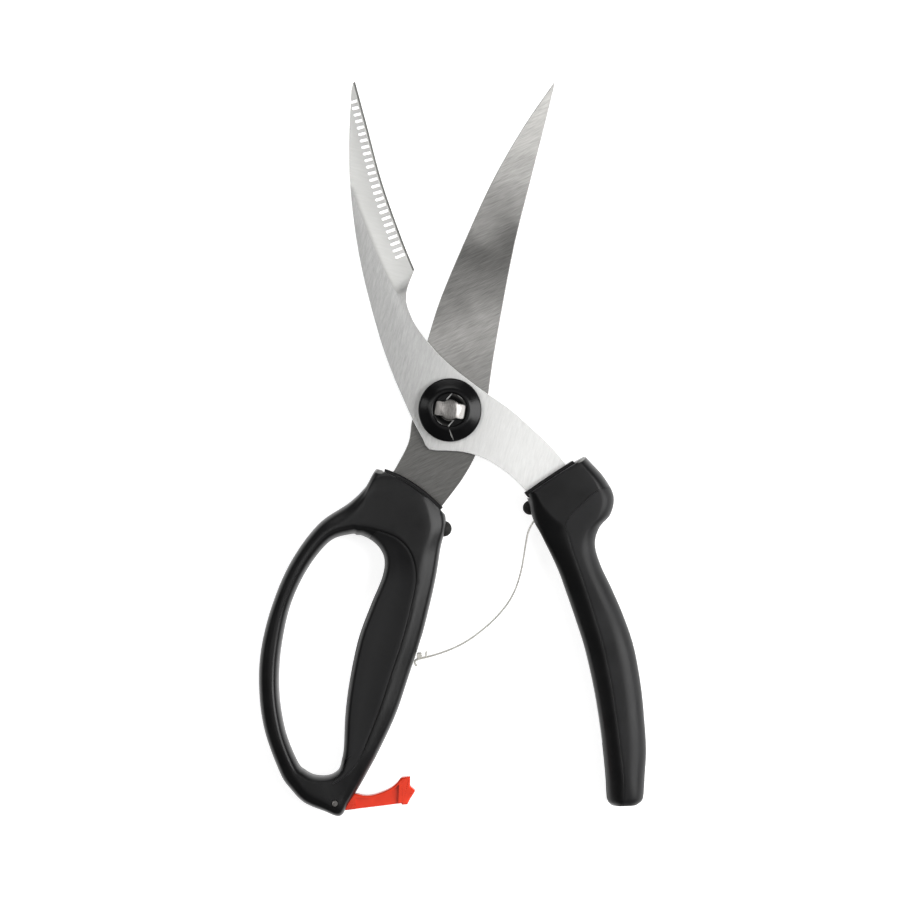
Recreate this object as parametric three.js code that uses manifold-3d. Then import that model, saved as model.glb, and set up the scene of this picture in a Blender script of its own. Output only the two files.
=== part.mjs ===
// Spring-loaded poultry shears, lying flat and open.
// Millimetres. Z is the pivot's axis, and the origin is on the back face of the pivot stud.
// +Y points from the pivot towards the blade tips, and the front of the shears faces +Z.
// The knife blade is fixed in the closed-loop handle, the serrated blade in the straight handle.
import * as THREE from "three";
import { mergeVertices } from "three/addons/utils/BufferGeometryUtils.js";
import Module from "manifold-3d";

const wasm = await Module();
wasm.setup();

// Clearances, cutting lengths and plate thicknesses.
const GAP = 0.3;
const THROUGH = 20;
const BLADE_THICKNESS = 2.4;
const STUD_HEAD_THICKNESS = 1.6;
const KNIFE_Z = STUD_HEAD_THICKNESS + GAP;
const SERRATED_Z = KNIFE_Z + BLADE_THICKNESS + GAP;
const RING_Z = SERRATED_Z + BLADE_THICKNESS + GAP;
const MID_Z = (KNIFE_Z + SERRATED_Z + BLADE_THICKNESS) / 2;

// Blades.
const EDGE_THICKNESS = 0.5;
const BEVEL_DEPTH = BLADE_THICKNESS - EDGE_THICKNESS;
const SERRATION_COUNT = 25;
const SERRATION_RADIUS = 0.6;
const SERRATION_LIFT = 0.24;
const SERRATION_START = 1;
const SERRATION_LENGTH_AT_TIP = 3.5;
const SERRATION_LENGTH_AT_HEEL = 4.6;
const FIRST_SERRATION = 6.8;
const LAST_SERRATION = 63;

// Pivot.
const SHANK_RADIUS = 3.55;
const HOLE_RADIUS = SHANK_RADIUS + GAP;
const STUD_HEAD_RADIUS = 6.5;
const EAR_SPAN = 10.8;
const EAR_WIDTH = 5.5;
const EAR_ANGLE = -9;
const EAR_THICKNESS = 2.1;
const KEYHOLE_ANGLE = 50;
const RING_RADIUS = 11.1;
const RING_HEIGHT = 4.8;
const WELL_RADIUS = 6;
const RING_FLOOR = 1.3;

// Handles.
const HANDLE_HALF = 9.2;
const CORE_HALF = 6;
const GRIP_SKIN = 1.6;
const COLLAR_PROUD = 1.2;
const LAND_PROUD = 0.4;
const LOOP_LAND = 0.88;
const STRAIGHT_LAND = 0.85;
const TANG_PIN_RADIUS = 1.1;
const LOOP_TANG_PINS = [[-12.6, -31], [-13.8, -44]];
const STRAIGHT_TANG_PINS = [[39.3, -26], [42.6, -37]];
const STEPS = 2;

// Spring strip.
const STRIP_THICKNESS = 0.5;
const STRIP_HALF_WIDTH = 2.8;
const STRIP_IN_HANDLE = 4.7;
const SLIDER_CLEARANCE = 0.7;
const SLIDER_THICKNESS = 0.6;
const FIRST_FLEX_LENGTH = 4;
const SECOND_FLEX_LENGTH = 30;

// Latch.
const LATCH_PIN = [-40.1, -137.3];
const LATCH_PIN_RADIUS = 1.2;
const LATCH_PIN_HALF = 7.6;
const LATCH_HALF = 2.7;
const LATCH_WEB_DEPTH = 1.3;
const LATCH_SIDE_CLEARANCE = 0.5;
const CLOSED_ANGLE = 35;

const radians = THREE.MathUtils.degToRad;
const mix = (a, b, t) => a + (b - a) * t;

// ---------- solids ----------

// A closed geometry as a manifold-3d solid, with its faces pointing out.
function solidOf(geometry) {
  const bare = geometry.index ? geometry.toNonIndexed() : geometry.clone();
  bare.deleteAttribute("normal");
  bare.deleteAttribute("uv");
  const merged = mergeVertices(bare, 1e-4);
  const triVerts = new Uint32Array(merged.index.array);
  const vertProperties = new Float32Array(merged.attributes.position.array);
  const made = new wasm.Manifold(new wasm.Mesh({ numProp: 3, vertProperties, triVerts }));
  if (made.volume() > 0) return made;
  for (let i = 0; i < triVerts.length; i += 3) {
    [triVerts[i + 1], triVerts[i + 2]] = [triVerts[i + 2], triVerts[i + 1]];
  }
  return new wasm.Manifold(new wasm.Mesh({ numProp: 3, vertProperties, triVerts }));
}

function geometryOf(solid) {
  const mesh = solid.getMesh();
  const geometry = new THREE.BufferGeometry();
  geometry.setAttribute("position", new THREE.BufferAttribute(mesh.vertProperties, 3));
  geometry.setIndex(new THREE.BufferAttribute(mesh.triVerts, 1));
  geometry.computeVertexNormals();
  return geometry;
}

// The biggest body of a cut solid, which drops any crumb that a cut leaves.
function mainBody(solid) {
  return solid.decompose().reduce((best, body) => (body.volume() > best.volume() ? body : best));
}

function cut(solid, ...tools) {
  return tools.reduce((rest, tool) => rest.subtract(tool), solid);
}

// A flat outline, a list of [x, y], made solid between two heights.
function prism(outline, low, high) {
  const shape = new THREE.Shape(outline.map(([x, y]) => new THREE.Vector2(x, y)));
  const geometry = new THREE.ExtrudeGeometry(shape, { depth: high - low, bevelEnabled: false });
  return solidOf(geometry.translate(0, 0, low));
}

// A round hole along Z at a point, long enough to go right through everything.
function drill([x, y], radius) {
  return prism(arc([x, y], radius, 0, 330, 11), MID_Z - THROUGH, MID_Z + THROUGH);
}

// Rings of [x, y, z] joined in order, either round into a closed loop or with both ends capped.
function loft(rings, looped) {
  const size = rings[0].length;
  const vertices = rings.flat();
  const faces = [];
  const spans = looped ? rings.length : rings.length - 1;
  for (let i = 0; i < spans; i++) {
    const here = i * size;
    const next = ((i + 1) % rings.length) * size;
    for (let j = 0; j < size; j++) {
      const k = (j + 1) % size;
      faces.push(here + j, here + k, next + k, here + j, next + k, next + j);
    }
  }
  if (!looped) {
    [0, rings.length - 1].forEach((end) => {
      const centre = [0, 1, 2].map((axis) => rings[end].reduce((sum, p) => sum + p[axis], 0) / size);
      vertices.push(centre);
      for (let j = 0; j < size; j++) {
        const pair = [end * size + j, end * size + ((j + 1) % size)];
        faces.push(vertices.length - 1, ...(end === 0 ? pair.reverse() : pair));
      }
    });
  }
  const geometry = new THREE.BufferGeometry();
  geometry.setAttribute("position", new THREE.Float32BufferAttribute(vertices.flat(), 3));
  geometry.setIndex(faces);
  return solidOf(geometry);
}

// A round bar between two points.
function bar(from, to, radius, sides = 12) {
  const start = new THREE.Vector3(...from);
  const along = new THREE.Vector3(...to).sub(start);
  const geometry = new THREE.CylinderGeometry(radius, radius, along.length(), sides);
  const turn = new THREE.Quaternion().setFromUnitVectors(
    new THREE.Vector3(0, 1, 0), along.clone().normalize());
  geometry.applyQuaternion(turn);
  const middle = start.addScaledVector(along, 0.5);
  return solidOf(geometry.translate(middle.x, middle.y, middle.z));
}

// ---------- flat curves ----------

// A Catmull-Rom curve through rows of numbers, sampled a few times in each span.
function through(rows, steps, closed = false) {
  const last = rows.length - 1;
  const row = (i) => (closed ? rows[(i + rows.length) % rows.length]
    : rows[THREE.MathUtils.clamp(i, 0, last)]);
  const out = [];
  for (let i = 0; i < (closed ? rows.length : last); i++) {
    for (let k = 0; k < steps; k++) {
      const t = k / steps;
      const [a, b, c, d] = [row(i - 1), row(i), row(i + 1), row(i + 2)];
      out.push(b.map((_, n) => 0.5 * (2 * b[n] + (c[n] - a[n]) * t
        + (2 * a[n] - 5 * b[n] + 4 * c[n] - d[n]) * t * t
        + (3 * b[n] - a[n] - 3 * c[n] + d[n]) * t * t * t)));
    }
  }
  return closed ? out : [...out, rows[last]];
}

const turned = ([x, y], degrees, [cx, cy] = [0, 0]) => {
  const c = Math.cos(radians(degrees));
  const s = Math.sin(radians(degrees));
  return [cx + (x - cx) * c - (y - cy) * s, cy + (x - cx) * s + (y - cy) * c];
};

function arc([cx, cy], radius, fromDegrees, toDegrees, count) {
  return Array.from({ length: count + 1 }, (_, i) =>
    turned([cx + radius, cy], mix(fromDegrees, toDegrees, i / count), [cx, cy]));
}

// An outline grown outwards by a margin, corner by corner.
function grown(outline, margin) {
  const turn = Math.sign(THREE.ShapeUtils.area(outline.map(([x, y]) => new THREE.Vector2(x, y))));
  const normal = ([ax, ay], [bx, by]) => {
    const length = Math.hypot(bx - ax, by - ay);
    return [((by - ay) * turn) / length, ((ax - bx) * turn) / length];
  };
  return outline.map((point, i) => {
    const before = outline[(i + outline.length - 1) % outline.length];
    const after = outline[(i + 1) % outline.length];
    const [n, m] = [normal(before, point), normal(point, after)];
    const reach = margin / Math.max(0.5, 1 + n[0] * m[0] + n[1] * m[1]);
    return [point[0] + (n[0] + m[0]) * reach, point[1] + (n[1] + m[1]) * reach];
  });
}

// A strip of even thickness along a line of points.
function ribbon(line, thickness) {
  const side = (sign) => line.map((point, i) => {
    const [ax, ay] = line[Math.max(i - 1, 0)];
    const [bx, by] = line[Math.min(i + 1, line.length - 1)];
    const reach = (sign * thickness) / 2 / Math.hypot(bx - ax, by - ay);
    return [point[0] - (by - ay) * reach, point[1] + (bx - ax) * reach];
  });
  return [...side(1), ...side(-1).reverse()];
}

// The stretch of a line between two distances along it.
function stretch(line, from, to) {
  const out = [];
  let done = 0;
  for (let i = 0; i + 1 < line.length; i++) {
    const [a, b] = [line[i], line[i + 1]];
    const length = Math.hypot(b[0] - a[0], b[1] - a[1]);
    const point = (distance) => {
      const t = (distance - done) / length;
      return [mix(a[0], b[0], t), mix(a[1], b[1], t)];
    };
    if (from >= done && from < done + length) out.push(point(from));
    if (done + length > from && done + length < to) out.push(b);
    if (to > done && to <= done + length) out.push(point(to));
    done += length;
  }
  return out;
}

// ---------- blades ----------

const SERRATED_EDGE = [[-33.3, 115.2], [-29.2, 100], [-23.9, 80], [-16.9, 60], [-12.5, 49.2]];
const SERRATED_GRIND = [[-42, 113], [-40, 98], [-35.2, 79.5], [-27.5, 58.7], [-20.2, 43.3]];
const KNIFE_EDGE = [[36.66, 115.15], [25.8, 99.3], [15.1, 80.7], [5.5, 60], [-3.2, 39.3], [-7.8, 24.8]];
const KNIFE_GRIND = [[41, 112], [33.8, 98], [27.5, 78], [21.5, 57], [13.5, 36.5], [-3.5, 21.5]];

// What is ground off a blade between its grind line and its edge.
function bevelTool(edge, grind, faceZ, side) {
  const rings = edge.map(([ex, ey], i) => {
    const [gx, gy] = grind[i];
    const over = 1.3;
    const [ox, oy] = [mix(gx, ex, over), mix(gy, ey, over)];
    return [[gx, gy, faceZ], [ox, oy, faceZ - side * BEVEL_DEPTH * over],
      [ox, oy, faceZ + side], [gx, gy, faceZ + side]];
  });
  return loft(rings, false);
}

// Grooves at even distances along the edge, square to it and running up the bevel.
function serrations(edge, grind, faceZ) {
  return Array.from({ length: SERRATION_COUNT }, (_, i) => {
    const share = i / (SERRATION_COUNT - 1);
    const place = mix(FIRST_SERRATION, LAST_SERRATION, share);
    const [[ex, ey], [nextX, nextY]] = stretch(edge, place, place + 0.5);
    const step = Math.hypot(nextX - ex, nextY - ey);
    const [dx, dy] = [(nextY - ey) / step, (ex - nextX) / step];
    const width = Math.min(...grind.map(([gx, gy]) => Math.hypot(gx - ex, gy - ey)));
    const rise = BEVEL_DEPTH / width;
    const length = mix(SERRATION_LENGTH_AT_TIP, SERRATION_LENGTH_AT_HEEL, share);
    const lowest = faceZ - BEVEL_DEPTH + SERRATION_LIFT;
    const at = (reach) => [ex + dx * reach, ey + dy * reach, lowest + rise * reach];
    return bar(at(SERRATION_START), at(length), SERRATION_RADIUS, 8);
  });
}

// The round hole with two notches that lets the stud's ears through when the shears are spread.
function keyhole(low, high) {
  const width = EAR_WIDTH / 2 + GAP;
  const reach = EAR_SPAN / 2 + GAP;
  const slot = [[-reach, -width], [reach, -width], [reach, width], [-reach, width]];
  const notches = prism(slot.map((p) => turned(p, KEYHOLE_ANGLE)), low, high);
  return prism(arc([0, 0], HOLE_RADIUS, 0, 345, 23), low, high).add(notches);
}

function serratedBlade() {
  const top = SERRATED_Z + BLADE_THICKNESS;
  const notch = [[-12.5, 49.2], [-15.3, 41], [-14, 34], [-10.2, 27], [-2.3, 17.9], [9.4, 8.3],
    [21.6, -0.2], [35, -12.5], [40.3, -18.9]];
  const tang = [[44.6, -26], [45.6, -36], [45.6, -46], [42.4, -46], [38, -34.5], [33, -28.6]];
  const belly = [[27.5, -29.3], [21.1, -22.9], [12.6, -17.3], [4.6, -14.7], [-6.1, -14.2]];
  const corner = [[-8.2, -13], [-9.5, -10.1]];
  const back = [[-13.3, -3.1], [-19.9, 12], [-25, 26.5], [-31.2, 50.7], [-34.5, 73], [-35.4, 92],
    [-34.5, 112.7]];
  const outline = [...through(SERRATED_EDGE, 3).slice(0, -1), ...through(notch, 2), ...tang,
    ...through(belly, 2), ...corner, ...through(back, 3)];
  const edge = through([...SERRATED_EDGE, [-9.2, 45.8], [-5.8, 41.4]], 3);
  const grind = through([...SERRATED_GRIND, [-16.9, 39.9], [-13.5, 35.5]], 3);
  const plate = prism(outline, SERRATED_Z, top);
  return mainBody(cut(plate, bevelTool(edge, grind, top, 1),
    ...serrations(through(SERRATED_EDGE, 3), through(SERRATED_GRIND, 3), top),
    keyhole(SERRATED_Z - 1, top + 1), ...pinHoles(STRAIGHT_TANG_PINS)));
}

function knifeBlade() {
  const heel = [[-7.8, 24.8], [-10.6, 12], [-13.3, -3.1], [-14.6, -11.4], [-18.6, -19.4], [-19.9, -21.5]];
  const tang = [[-20.2, -30], [-17, -41], [-16.5, -50], [-11.4, -50], [-11, -41]];
  const right = [[-3.1, -34], [0, -30], [4.6, -23.7], [8.9, -15.8], [12, -6], [13.5, 5.9]];
  const spine = [[13.5, 5.9], [15.2, 18], [19.1, 40], [23.1, 60], [28.1, 80], [33.1, 99.7]];
  const outline = [...through(KNIFE_EDGE, 3).slice(0, -1), ...through(heel, 2), ...tang,
    ...through(right, 2).slice(0, -1), ...through(spine, 2)];
  const bevel = bevelTool(through(KNIFE_EDGE, 3), through(KNIFE_GRIND, 3), KNIFE_Z, -1);
  const hole = prism(arc([0, 0], HOLE_RADIUS, 0, 345, 23), KNIFE_Z - 1, KNIFE_Z + BLADE_THICKNESS + 1);
  const plate = prism(outline, KNIFE_Z, KNIFE_Z + BLADE_THICKNESS);
  return mainBody(cut(plate, bevel, hole, ...pinHoles(LOOP_TANG_PINS)));
}

// ---------- pivot ----------

function turnedSolid(profile, segments) {
  const geometry = new THREE.LatheGeometry(profile.map(([r, z]) => new THREE.Vector2(r, z)), segments);
  return solidOf(geometry.rotateX(Math.PI / 2));
}

function pivotStud() {
  const earsZ = RING_Z + RING_FLOOR + GAP;
  const post = turnedSolid([[0, 0], [STUD_HEAD_RADIUS - 0.5, 0], [STUD_HEAD_RADIUS, 0.5],
    [STUD_HEAD_RADIUS, STUD_HEAD_THICKNESS], [SHANK_RADIUS, STUD_HEAD_THICKNESS],
    [SHANK_RADIUS, earsZ + EAR_THICKNESS - 0.4], [SHANK_RADIUS - 0.6, earsZ + EAR_THICKNESS],
    [0, earsZ + EAR_THICKNESS]], 24);
  const [reach, half] = [EAR_SPAN / 2, EAR_WIDTH / 2];
  const ears = [[-reach, -half + 0.8], [-reach + 0.8, -half], [reach - 0.8, -half],
    [reach, -half + 0.8], [reach, half - 0.8], [reach - 0.8, half], [-reach + 0.8, half],
    [-reach, half - 0.8]];
  return post.add(prism(ears.map((p) => turned(p, EAR_ANGLE)), earsZ, earsZ + EAR_THICKNESS - 0.4));
}

function pivotRing() {
  const top = RING_Z + RING_HEIGHT;
  const profile = [[HOLE_RADIUS, RING_Z], [RING_RADIUS, RING_Z], [RING_RADIUS, top - 2.1],
    [RING_RADIUS - 0.7, top - 1.2], [RING_RADIUS - 2.4, top - 0.4], [WELL_RADIUS + 0.9, top],
    [WELL_RADIUS + 0.4, top], [WELL_RADIUS, top - 0.4], [WELL_RADIUS, RING_Z + RING_FLOOR],
    [HOLE_RADIUS, RING_Z + RING_FLOOR], [HOLE_RADIUS, RING_Z]];
  return cut(turnedSolid(profile, 40), keyhole(RING_Z - 1, RING_Z + RING_FLOOR + 0.01));
}

// ---------- handle surfaces ----------

const rounded = (t) => Math.sqrt(1 - (1 - Math.min(Math.max(t, 0), 1)) ** 2);

// One cross-section of a handle, from an inner to an outer point. The skin is how far inside the
// surface it runs; shape gives the half thickness at a distance from the inner point.
function section(from, to, half, innerRound, outerRound, shape, skin, skinSide) {
  const width = Math.hypot(to[0] - from[0], to[1] - from[1]);
  const distances = [0, 0.1 * innerRound, 0.35 * innerRound, innerRound,
    mix(innerRound, width - outerRound, 0.33), mix(innerRound, width - outerRound, 0.67),
    width - outerRound, width - 0.35 * outerRound, width - 0.1 * outerRound, width];
  const start = skinSide === "inner" ? skin : -2 * Math.sign(skin);
  const end = width + (skinSide === "outer" ? -skin : 2 * Math.sign(skin));
  const samples = distances.map((d) => {
    const place = mix(start, end, d / width);
    const inside = THREE.MathUtils.clamp(place, 0, width);
    const height = Math.max(shape(inside, width, half) - skin, 0.6);
    return [mix(from[0], to[0], place / width), mix(from[1], to[1], place / width), height];
  });
  const front = samples.map(([x, y, h]) => [x, y, MID_Z + h]);
  const back = samples.map(([x, y, h]) => [x, y, MID_Z - h]).reverse();
  return [...front, ...back];
}

// Loop handle: each row is a point of the finger hole, a point of the rim, the half thickness,
// the distance from the hole to the cheek's crease, the depth of the cheek and the rim's rounding.
const LOOP_ROWS = [
  [-34.7, -43.5, -35.5, -32.6, HANDLE_HALF, 2.7, 1.5, 5],
  [-42.1, -46, -46, -39.9, 9, 2.4, 0.6, 4],
  [-49.9, -55.5, -55.5, -52.7, 8.6, 2.2, 0.1, 3.8],
  [-56, -68.5, -62.2, -68, 8.3, 2.2, 0, 3.8],
  [-59.3, -84.1, -66.2, -84, 8.2, 2.4, 0, 4.2],
  [-59.9, -98.8, -66.9, -98.5, 8.2, 2.4, 0, 4.2],
  [-57.7, -112.7, -64.8, -112.5, 8.2, 2.4, 0, 4.2],
  [-53.4, -123.5, -59.5, -127, 8.2, 2.4, 0, 4.2],
  [-50.8, -126.2, -55.7, -132.7, 8.2, 2.4, 0, 4.2],
  [-48.2, -127.7, -51, -137.4, 8.2, 2.6, 0, 4.2],
  [-45.5, -128.2, -44.2, -140.3, 8.2, 2.6, 0, 4.2],
  [-42.9, -128.1, -38.5, -142.2, 8, 2.8, 0, 4],
  [-40.7, -127.3, -35.4, -137.6, 8, 2.8, 0, 4],
  [-38.9, -125.7, -31.9, -132.1, 8.3, 3, 0.3, 4],
  [-37.9, -122.4, -28.2, -125.5, 8.6, 5.1, 0.75, 4.3],
  [-37.2, -118, -24.2, -118, 8.9, 7.2, 1.2, 4.5],
  [-36.6, -106, -18.7, -106, HANDLE_HALF, 11.4, 2.5, 5.5],
  [-35, -94, -14.4, -93.2, HANDLE_HALF, 14, 3.2, 6],
  [-32, -80, -10.1, -80, HANDLE_HALF, 15.4, 3.5, 6],
  [-27.8, -68.5, -7.1, -68.3, HANDLE_HALF, 14.2, 3.5, 6],
  [-23.8, -58.8, -5, -58.8, HANDLE_HALF, 11.9, 3.3, 6],
  [-22.9, -53, -3.4, -48.8, HANDLE_HALF, 9.8, 3, 6],
  [-24.2, -49, -1.6, -37.3, HANDLE_HALF, 7.6, 2.5, 6],
  [-27, -46, -8, -24, HANDLE_HALF, 4.6, 2, 5.5],
  [-30.5, -44.1, -23.2, -19, HANDLE_HALF, 3.1, 1.8, 5.5],
  [-32.6, -43.8, -29.8, -27.2, HANDLE_HALF, 2.9, 1.6, 5.5],
];

function loopSurface(skin) {
  const rings = through(LOOP_ROWS, STEPS, true).map(([hx, hy, rx, ry, half, cheek, dish, rim]) => {
    const shape = (d, width) => {
      const rimSide = mix(2.5, half, rounded((width - d) / rim));
      const holeSide = mix(2.5, half, rounded(d / 2.2));
      const hollow = d < cheek ? dish * Math.sin((Math.PI / 2) * (1 - d / cheek)) : 0;
      return Math.min(rimSide, holeSide) - Math.min(hollow, Math.min(rimSide, holeSide) - 1.2);
    };
    return section([hx, hy], [rx, ry], half, Math.max(cheek, 2.2), rim, shape, skin, "inner");
  });
  return loft(rings, true);
}

// Straight handle: each row is a point of the inner edge, a point of the outer edge, the half
// thickness, the width of the sloping inner flank and the outer edge's rounding.
const STRAIGHT_ROWS = [
  [25.2, -26.6, 44.2, -12.8, HANDLE_HALF, 3, 3.5],
  [27.3, -31.5, 49.2, -18.2, HANDLE_HALF, 3.5, 3.5],
  [28.4, -36, 54, -23.6, HANDLE_HALF, 5, 4],
  [29.8, -39.8, 57.3, -30, HANDLE_HALF, 7, 5],
  [31.6, -43, 56.3, -36.3, HANDLE_HALF, 8.8, 5.5],
  [33.6, -47, 52.3, -41.2, HANDLE_HALF, 8.2, 5.5],
  [35.6, -51, 50.8, -47, HANDLE_HALF, 7.4, 5.5],
  [38.3, -57, 52.6, -53.9, HANDLE_HALF, 6.9, 5.5],
  [41, -64.5, 56.5, -62.2, HANDLE_HALF, 6.8, 6],
  [44.2, -73.8, 60.6, -71.7, HANDLE_HALF, 6.6, 6],
  [47.2, -83.3, 64.3, -82.6, HANDLE_HALF, 6.4, 6.5],
  [50.1, -95.7, 66.8, -96, HANDLE_HALF, 6.2, 6.5],
  [52, -106.5, 68, -107.5, HANDLE_HALF, 6, 6.5],
  [53.5, -117.5, 68.7, -119, HANDLE_HALF, 6, 6.5],
  [54.6, -128.6, 68.2, -128.5, HANDLE_HALF, 6, 6],
  [54.95, -134.8, 67.8, -134.6, 8.8, 5.6, 5],
  [55.35, -137.1, 67.2, -136.7, 8.2, 4.8, 4.4],
  [56.8, -138.4, 65.5, -138.1, 7, 3, 3],
];

function straightSurface(skin) {
  const rings = through(STRAIGHT_ROWS, STEPS).map(([ix, iy, ox, oy, half, flank, outer]) => {
    const shape = (d, width) => {
      const slope = Math.min(d / flank, 1);
      const innerSide = mix(half - 4.4, half, 0.5 * (slope + rounded(slope)));
      const outerSide = mix(2, half, rounded((width - d) / outer));
      return Math.min(innerSide, outerSide);
    };
    return section([ix, iy], [ox, oy], half, flank, outer, shape, skin, "outer");
  });
  return loft(rings, false);
}

// A handle in two pieces: a hard shell and a soft grip skin that lies in it inside a patch outline.
function shellAndGrip(surface, patch) {
  const [low, high] = [MID_Z - 2 * HANDLE_HALF, MID_Z + 2 * HANDLE_HALF];
  const whole = surface(0);
  const grip = cut(whole.intersect(prism(patch, low, high)), surface(GRIP_SKIN));
  const recess = cut(prism(grown(patch, GAP), low, high), surface(GRIP_SKIN + GAP));
  return { shell: cut(whole, recess), grip };
}

// ---------- collars ----------

const LOOP_COLLAR = new THREE.QuadraticBezierCurve(
  new THREE.Vector2(-1, -37.6), new THREE.Vector2(-13, -23.5), new THREE.Vector2(-27, -20.8));
const STRAIGHT_COLLAR = new THREE.QuadraticBezierCurve(
  new THREE.Vector2(25.4, -30.9), new THREE.Vector2(36.3, -22.9), new THREE.Vector2(47.5, -16.4));

// Points of a collar curve between two shares of it, moved towards the pivot.
function collarLine(curve, from, to, proud, count = 6) {
  return Array.from({ length: count + 1 }, (_, i) => {
    const t = mix(from, to, i / count);
    const point = curve.getPoint(t);
    const tangent = curve.getTangent(t);
    const towardsPivot = Math.sign(tangent.y * -point.x + tangent.x * point.y) || 1;
    return [point.x + towardsPivot * tangent.y * proud, point.y - towardsPivot * tangent.x * proud];
  });
}

// Everything on the blade side of a collar. The land is the part of the collar, from a share of
// its curve to its outer end, that stands a little higher.
function collarTool(curve, reach, land) {
  const step = 0.01;
  const line = [...collarLine(curve, 0, land - step, 0),
    ...collarLine(curve, land + step, 1, LAND_PROUD, 2)];
  const first = line[0].map((value, axis) => value + 2 * (value - line[1][axis]));
  const last = line[line.length - 1];
  const out = [last[0] + reach[0], last[1] + reach[1]];
  const back = [first[0] + reach[0], first[1] + reach[1]];
  return prism([first, ...line, out, back], MID_Z - THROUGH, MID_Z + THROUGH);
}

const LOOP_CORE = [
  ...collarLine(LOOP_COLLAR, 0.1, 0.86, COLLAR_PROUD),
  [-23.6, -26], [-21.6, -40], [-18.6, -52], [-9.3, -52],
  [-9.3, -41.6], [-6.6, -37.6], [-4.4, -36.6], [-4, -35.5],
];
const STRAIGHT_CORE = [
  ...collarLine(STRAIGHT_COLLAR, 0.06, 0.82, COLLAR_PROUD),
  [47.6, -22], [48, -30], [47.8, -48], [40.2, -48],
  [35.2, -34.6], [32.4, -31.4], [29.2, -30.6], [27.3, -30.6],
];

const tangSlot = (outline, bladeZ) =>
  prism(grown(outline, GAP), bladeZ - GAP, bladeZ + BLADE_THICKNESS + GAP);

// The pins run through a tang and its core, and the handle's shell closes over their ends.
const tangPin = ([x, y]) =>
  bar([x, y, MID_Z - CORE_HALF + GAP], [x, y, MID_Z + CORE_HALF - GAP], TANG_PIN_RADIUS, 16);

const pinHoles = (pins) => pins.map((pin) => drill(pin, TANG_PIN_RADIUS + GAP));

function handleCore(outline, tangOutline, bladeZ, pins) {
  const block = prism(outline, MID_Z - CORE_HALF, MID_Z + CORE_HALF);
  return mainBody(cut(block, tangSlot(tangOutline, bladeZ), ...pinHoles(pins)));
}

const KNIFE_TANG = [[-13.6, -6.1], [-14.6, -11.4], [-18.6, -19.4], [-19.9, -21.5], [-20.2, -30],
  [-17, -41], [-16.5, -50], [-11.4, -50], [-11, -41], [-3.1, -34], [0, -30], [4.6, -23.7]];
const SERRATED_TANG = [[21.1, -22.9], [27.3, -29.5], [33, -28.6], [38, -34.5], [42.4, -46],
  [45.6, -46], [45.6, -36], [44.6, -26], [40.3, -18.9], [35, -12.5]];

// ---------- bump stops ----------

const LOOP_BUMPER = { at: [-2.6, -41.6], out: [1, 0.02], radius: 2.8 };
const STRAIGHT_BUMPER = { at: [28.4, -34.1], out: [-0.945, -0.326], radius: 2.5 };
const BUMPER_STEM = 3.2;

const bumperPoint = ({ at, out }, reach) => [at[0] + out[0] * reach, at[1] + out[1] * reach, MID_Z];

// A domed rubber button on a stem.
function bumper(place) {
  const { radius } = place;
  const rim = 0.4;
  const dome = arc([0, 0], radius, 0, 90, 5).map(([r, z]) => [r, z + rim]);
  dome[dome.length - 1][0] = 0;
  const head = new THREE.LatheGeometry(
    [[0, 0], [radius, 0], ...dome].map(([r, z]) => new THREE.Vector2(r, z)), 16);
  const turn = new THREE.Quaternion().setFromUnitVectors(
    new THREE.Vector3(0, 1, 0), new THREE.Vector3(place.out[0], place.out[1], 0).normalize());
  head.applyQuaternion(turn).translate(place.at[0], place.at[1], MID_Z);
  return solidOf(head).add(bar(bumperPoint(place, -BUMPER_STEM), bumperPoint(place, 0.2), 1.3));
}

function bumperSeat(place) {
  const seat = bar(bumperPoint(place, -GAP), bumperPoint(place, 8), place.radius + GAP, 16);
  return seat.add(bar(bumperPoint(place, -BUMPER_STEM - GAP), bumperPoint(place, 0), 1.3 + GAP));
}

// ---------- return spring ----------

const STRIP_ROUTE = [[32.3, -35.2], [30.5, -37.3], [28.6, -40.2], [27.3, -43], [26.5, -47], [25.9, -51],
  [25.2, -55], [24.2, -59], [22.8, -63], [21, -66.5], [18.5, -70], [15, -73.8], [11, -77.3],
  [6.5, -80.6], [1.5, -83.3], [-4, -85.4], [-9, -86.8]];

function stripPieces() {
  const line = through(STRIP_ROUTE, 2);
  const lengths = line.slice(1).map((p, i) => Math.hypot(p[0] - line[i][0], p[1] - line[i][1]));
  const total = lengths.reduce((sum, length) => sum + length, 0);
  const [first, second] = [STRIP_IN_HANDLE + FIRST_FLEX_LENGTH, STRIP_IN_HANDLE + SECOND_FLEX_LENGTH];
  const piece = (from, to) => prism(ribbon(stretch(line, from, to), STRIP_THICKNESS),
    MID_Z - STRIP_HALF_WIDTH, MID_Z + STRIP_HALF_WIDTH);
  return {
    root: piece(0.01, first - GAP / 2),
    leaf: piece(first + GAP / 2, second - GAP / 2),
    tip: piece(second + GAP / 2, total - 0.01),
    rootSlot: prism(ribbon([[33.1, -34.3], [30.5, -37.3], [27.4, -41.3]], 1.6),
      MID_Z - STRIP_HALF_WIDTH - GAP, MID_Z + STRIP_HALF_WIDTH + GAP),
  };
}

// The folded end of the strip, which slides in the loop handle's groove.
function springSlider() {
  const [low, high] = [MID_Z - STRIP_HALF_WIDTH, MID_Z + STRIP_HALF_WIDTH];
  const hook = ribbon([[-8.4, -86.6], [-11.6, -87.4], [-12.4, -88.3], [-11.7, -89.7]], SLIDER_THICKNESS);
  const fold = [[-9.8, -86.7], [-10, -84.9], [-11.6, -85.2], [-11.6, -87.2]];
  const tab = ribbon([[-8.6, -86.7], [-8.3, -84.7]], SLIDER_THICKNESS);
  return [fold, tab].reduce((all, outline) => all.add(prism(outline, low, high)), prism(hook, low, high));
}

// ---------- latch ----------

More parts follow.
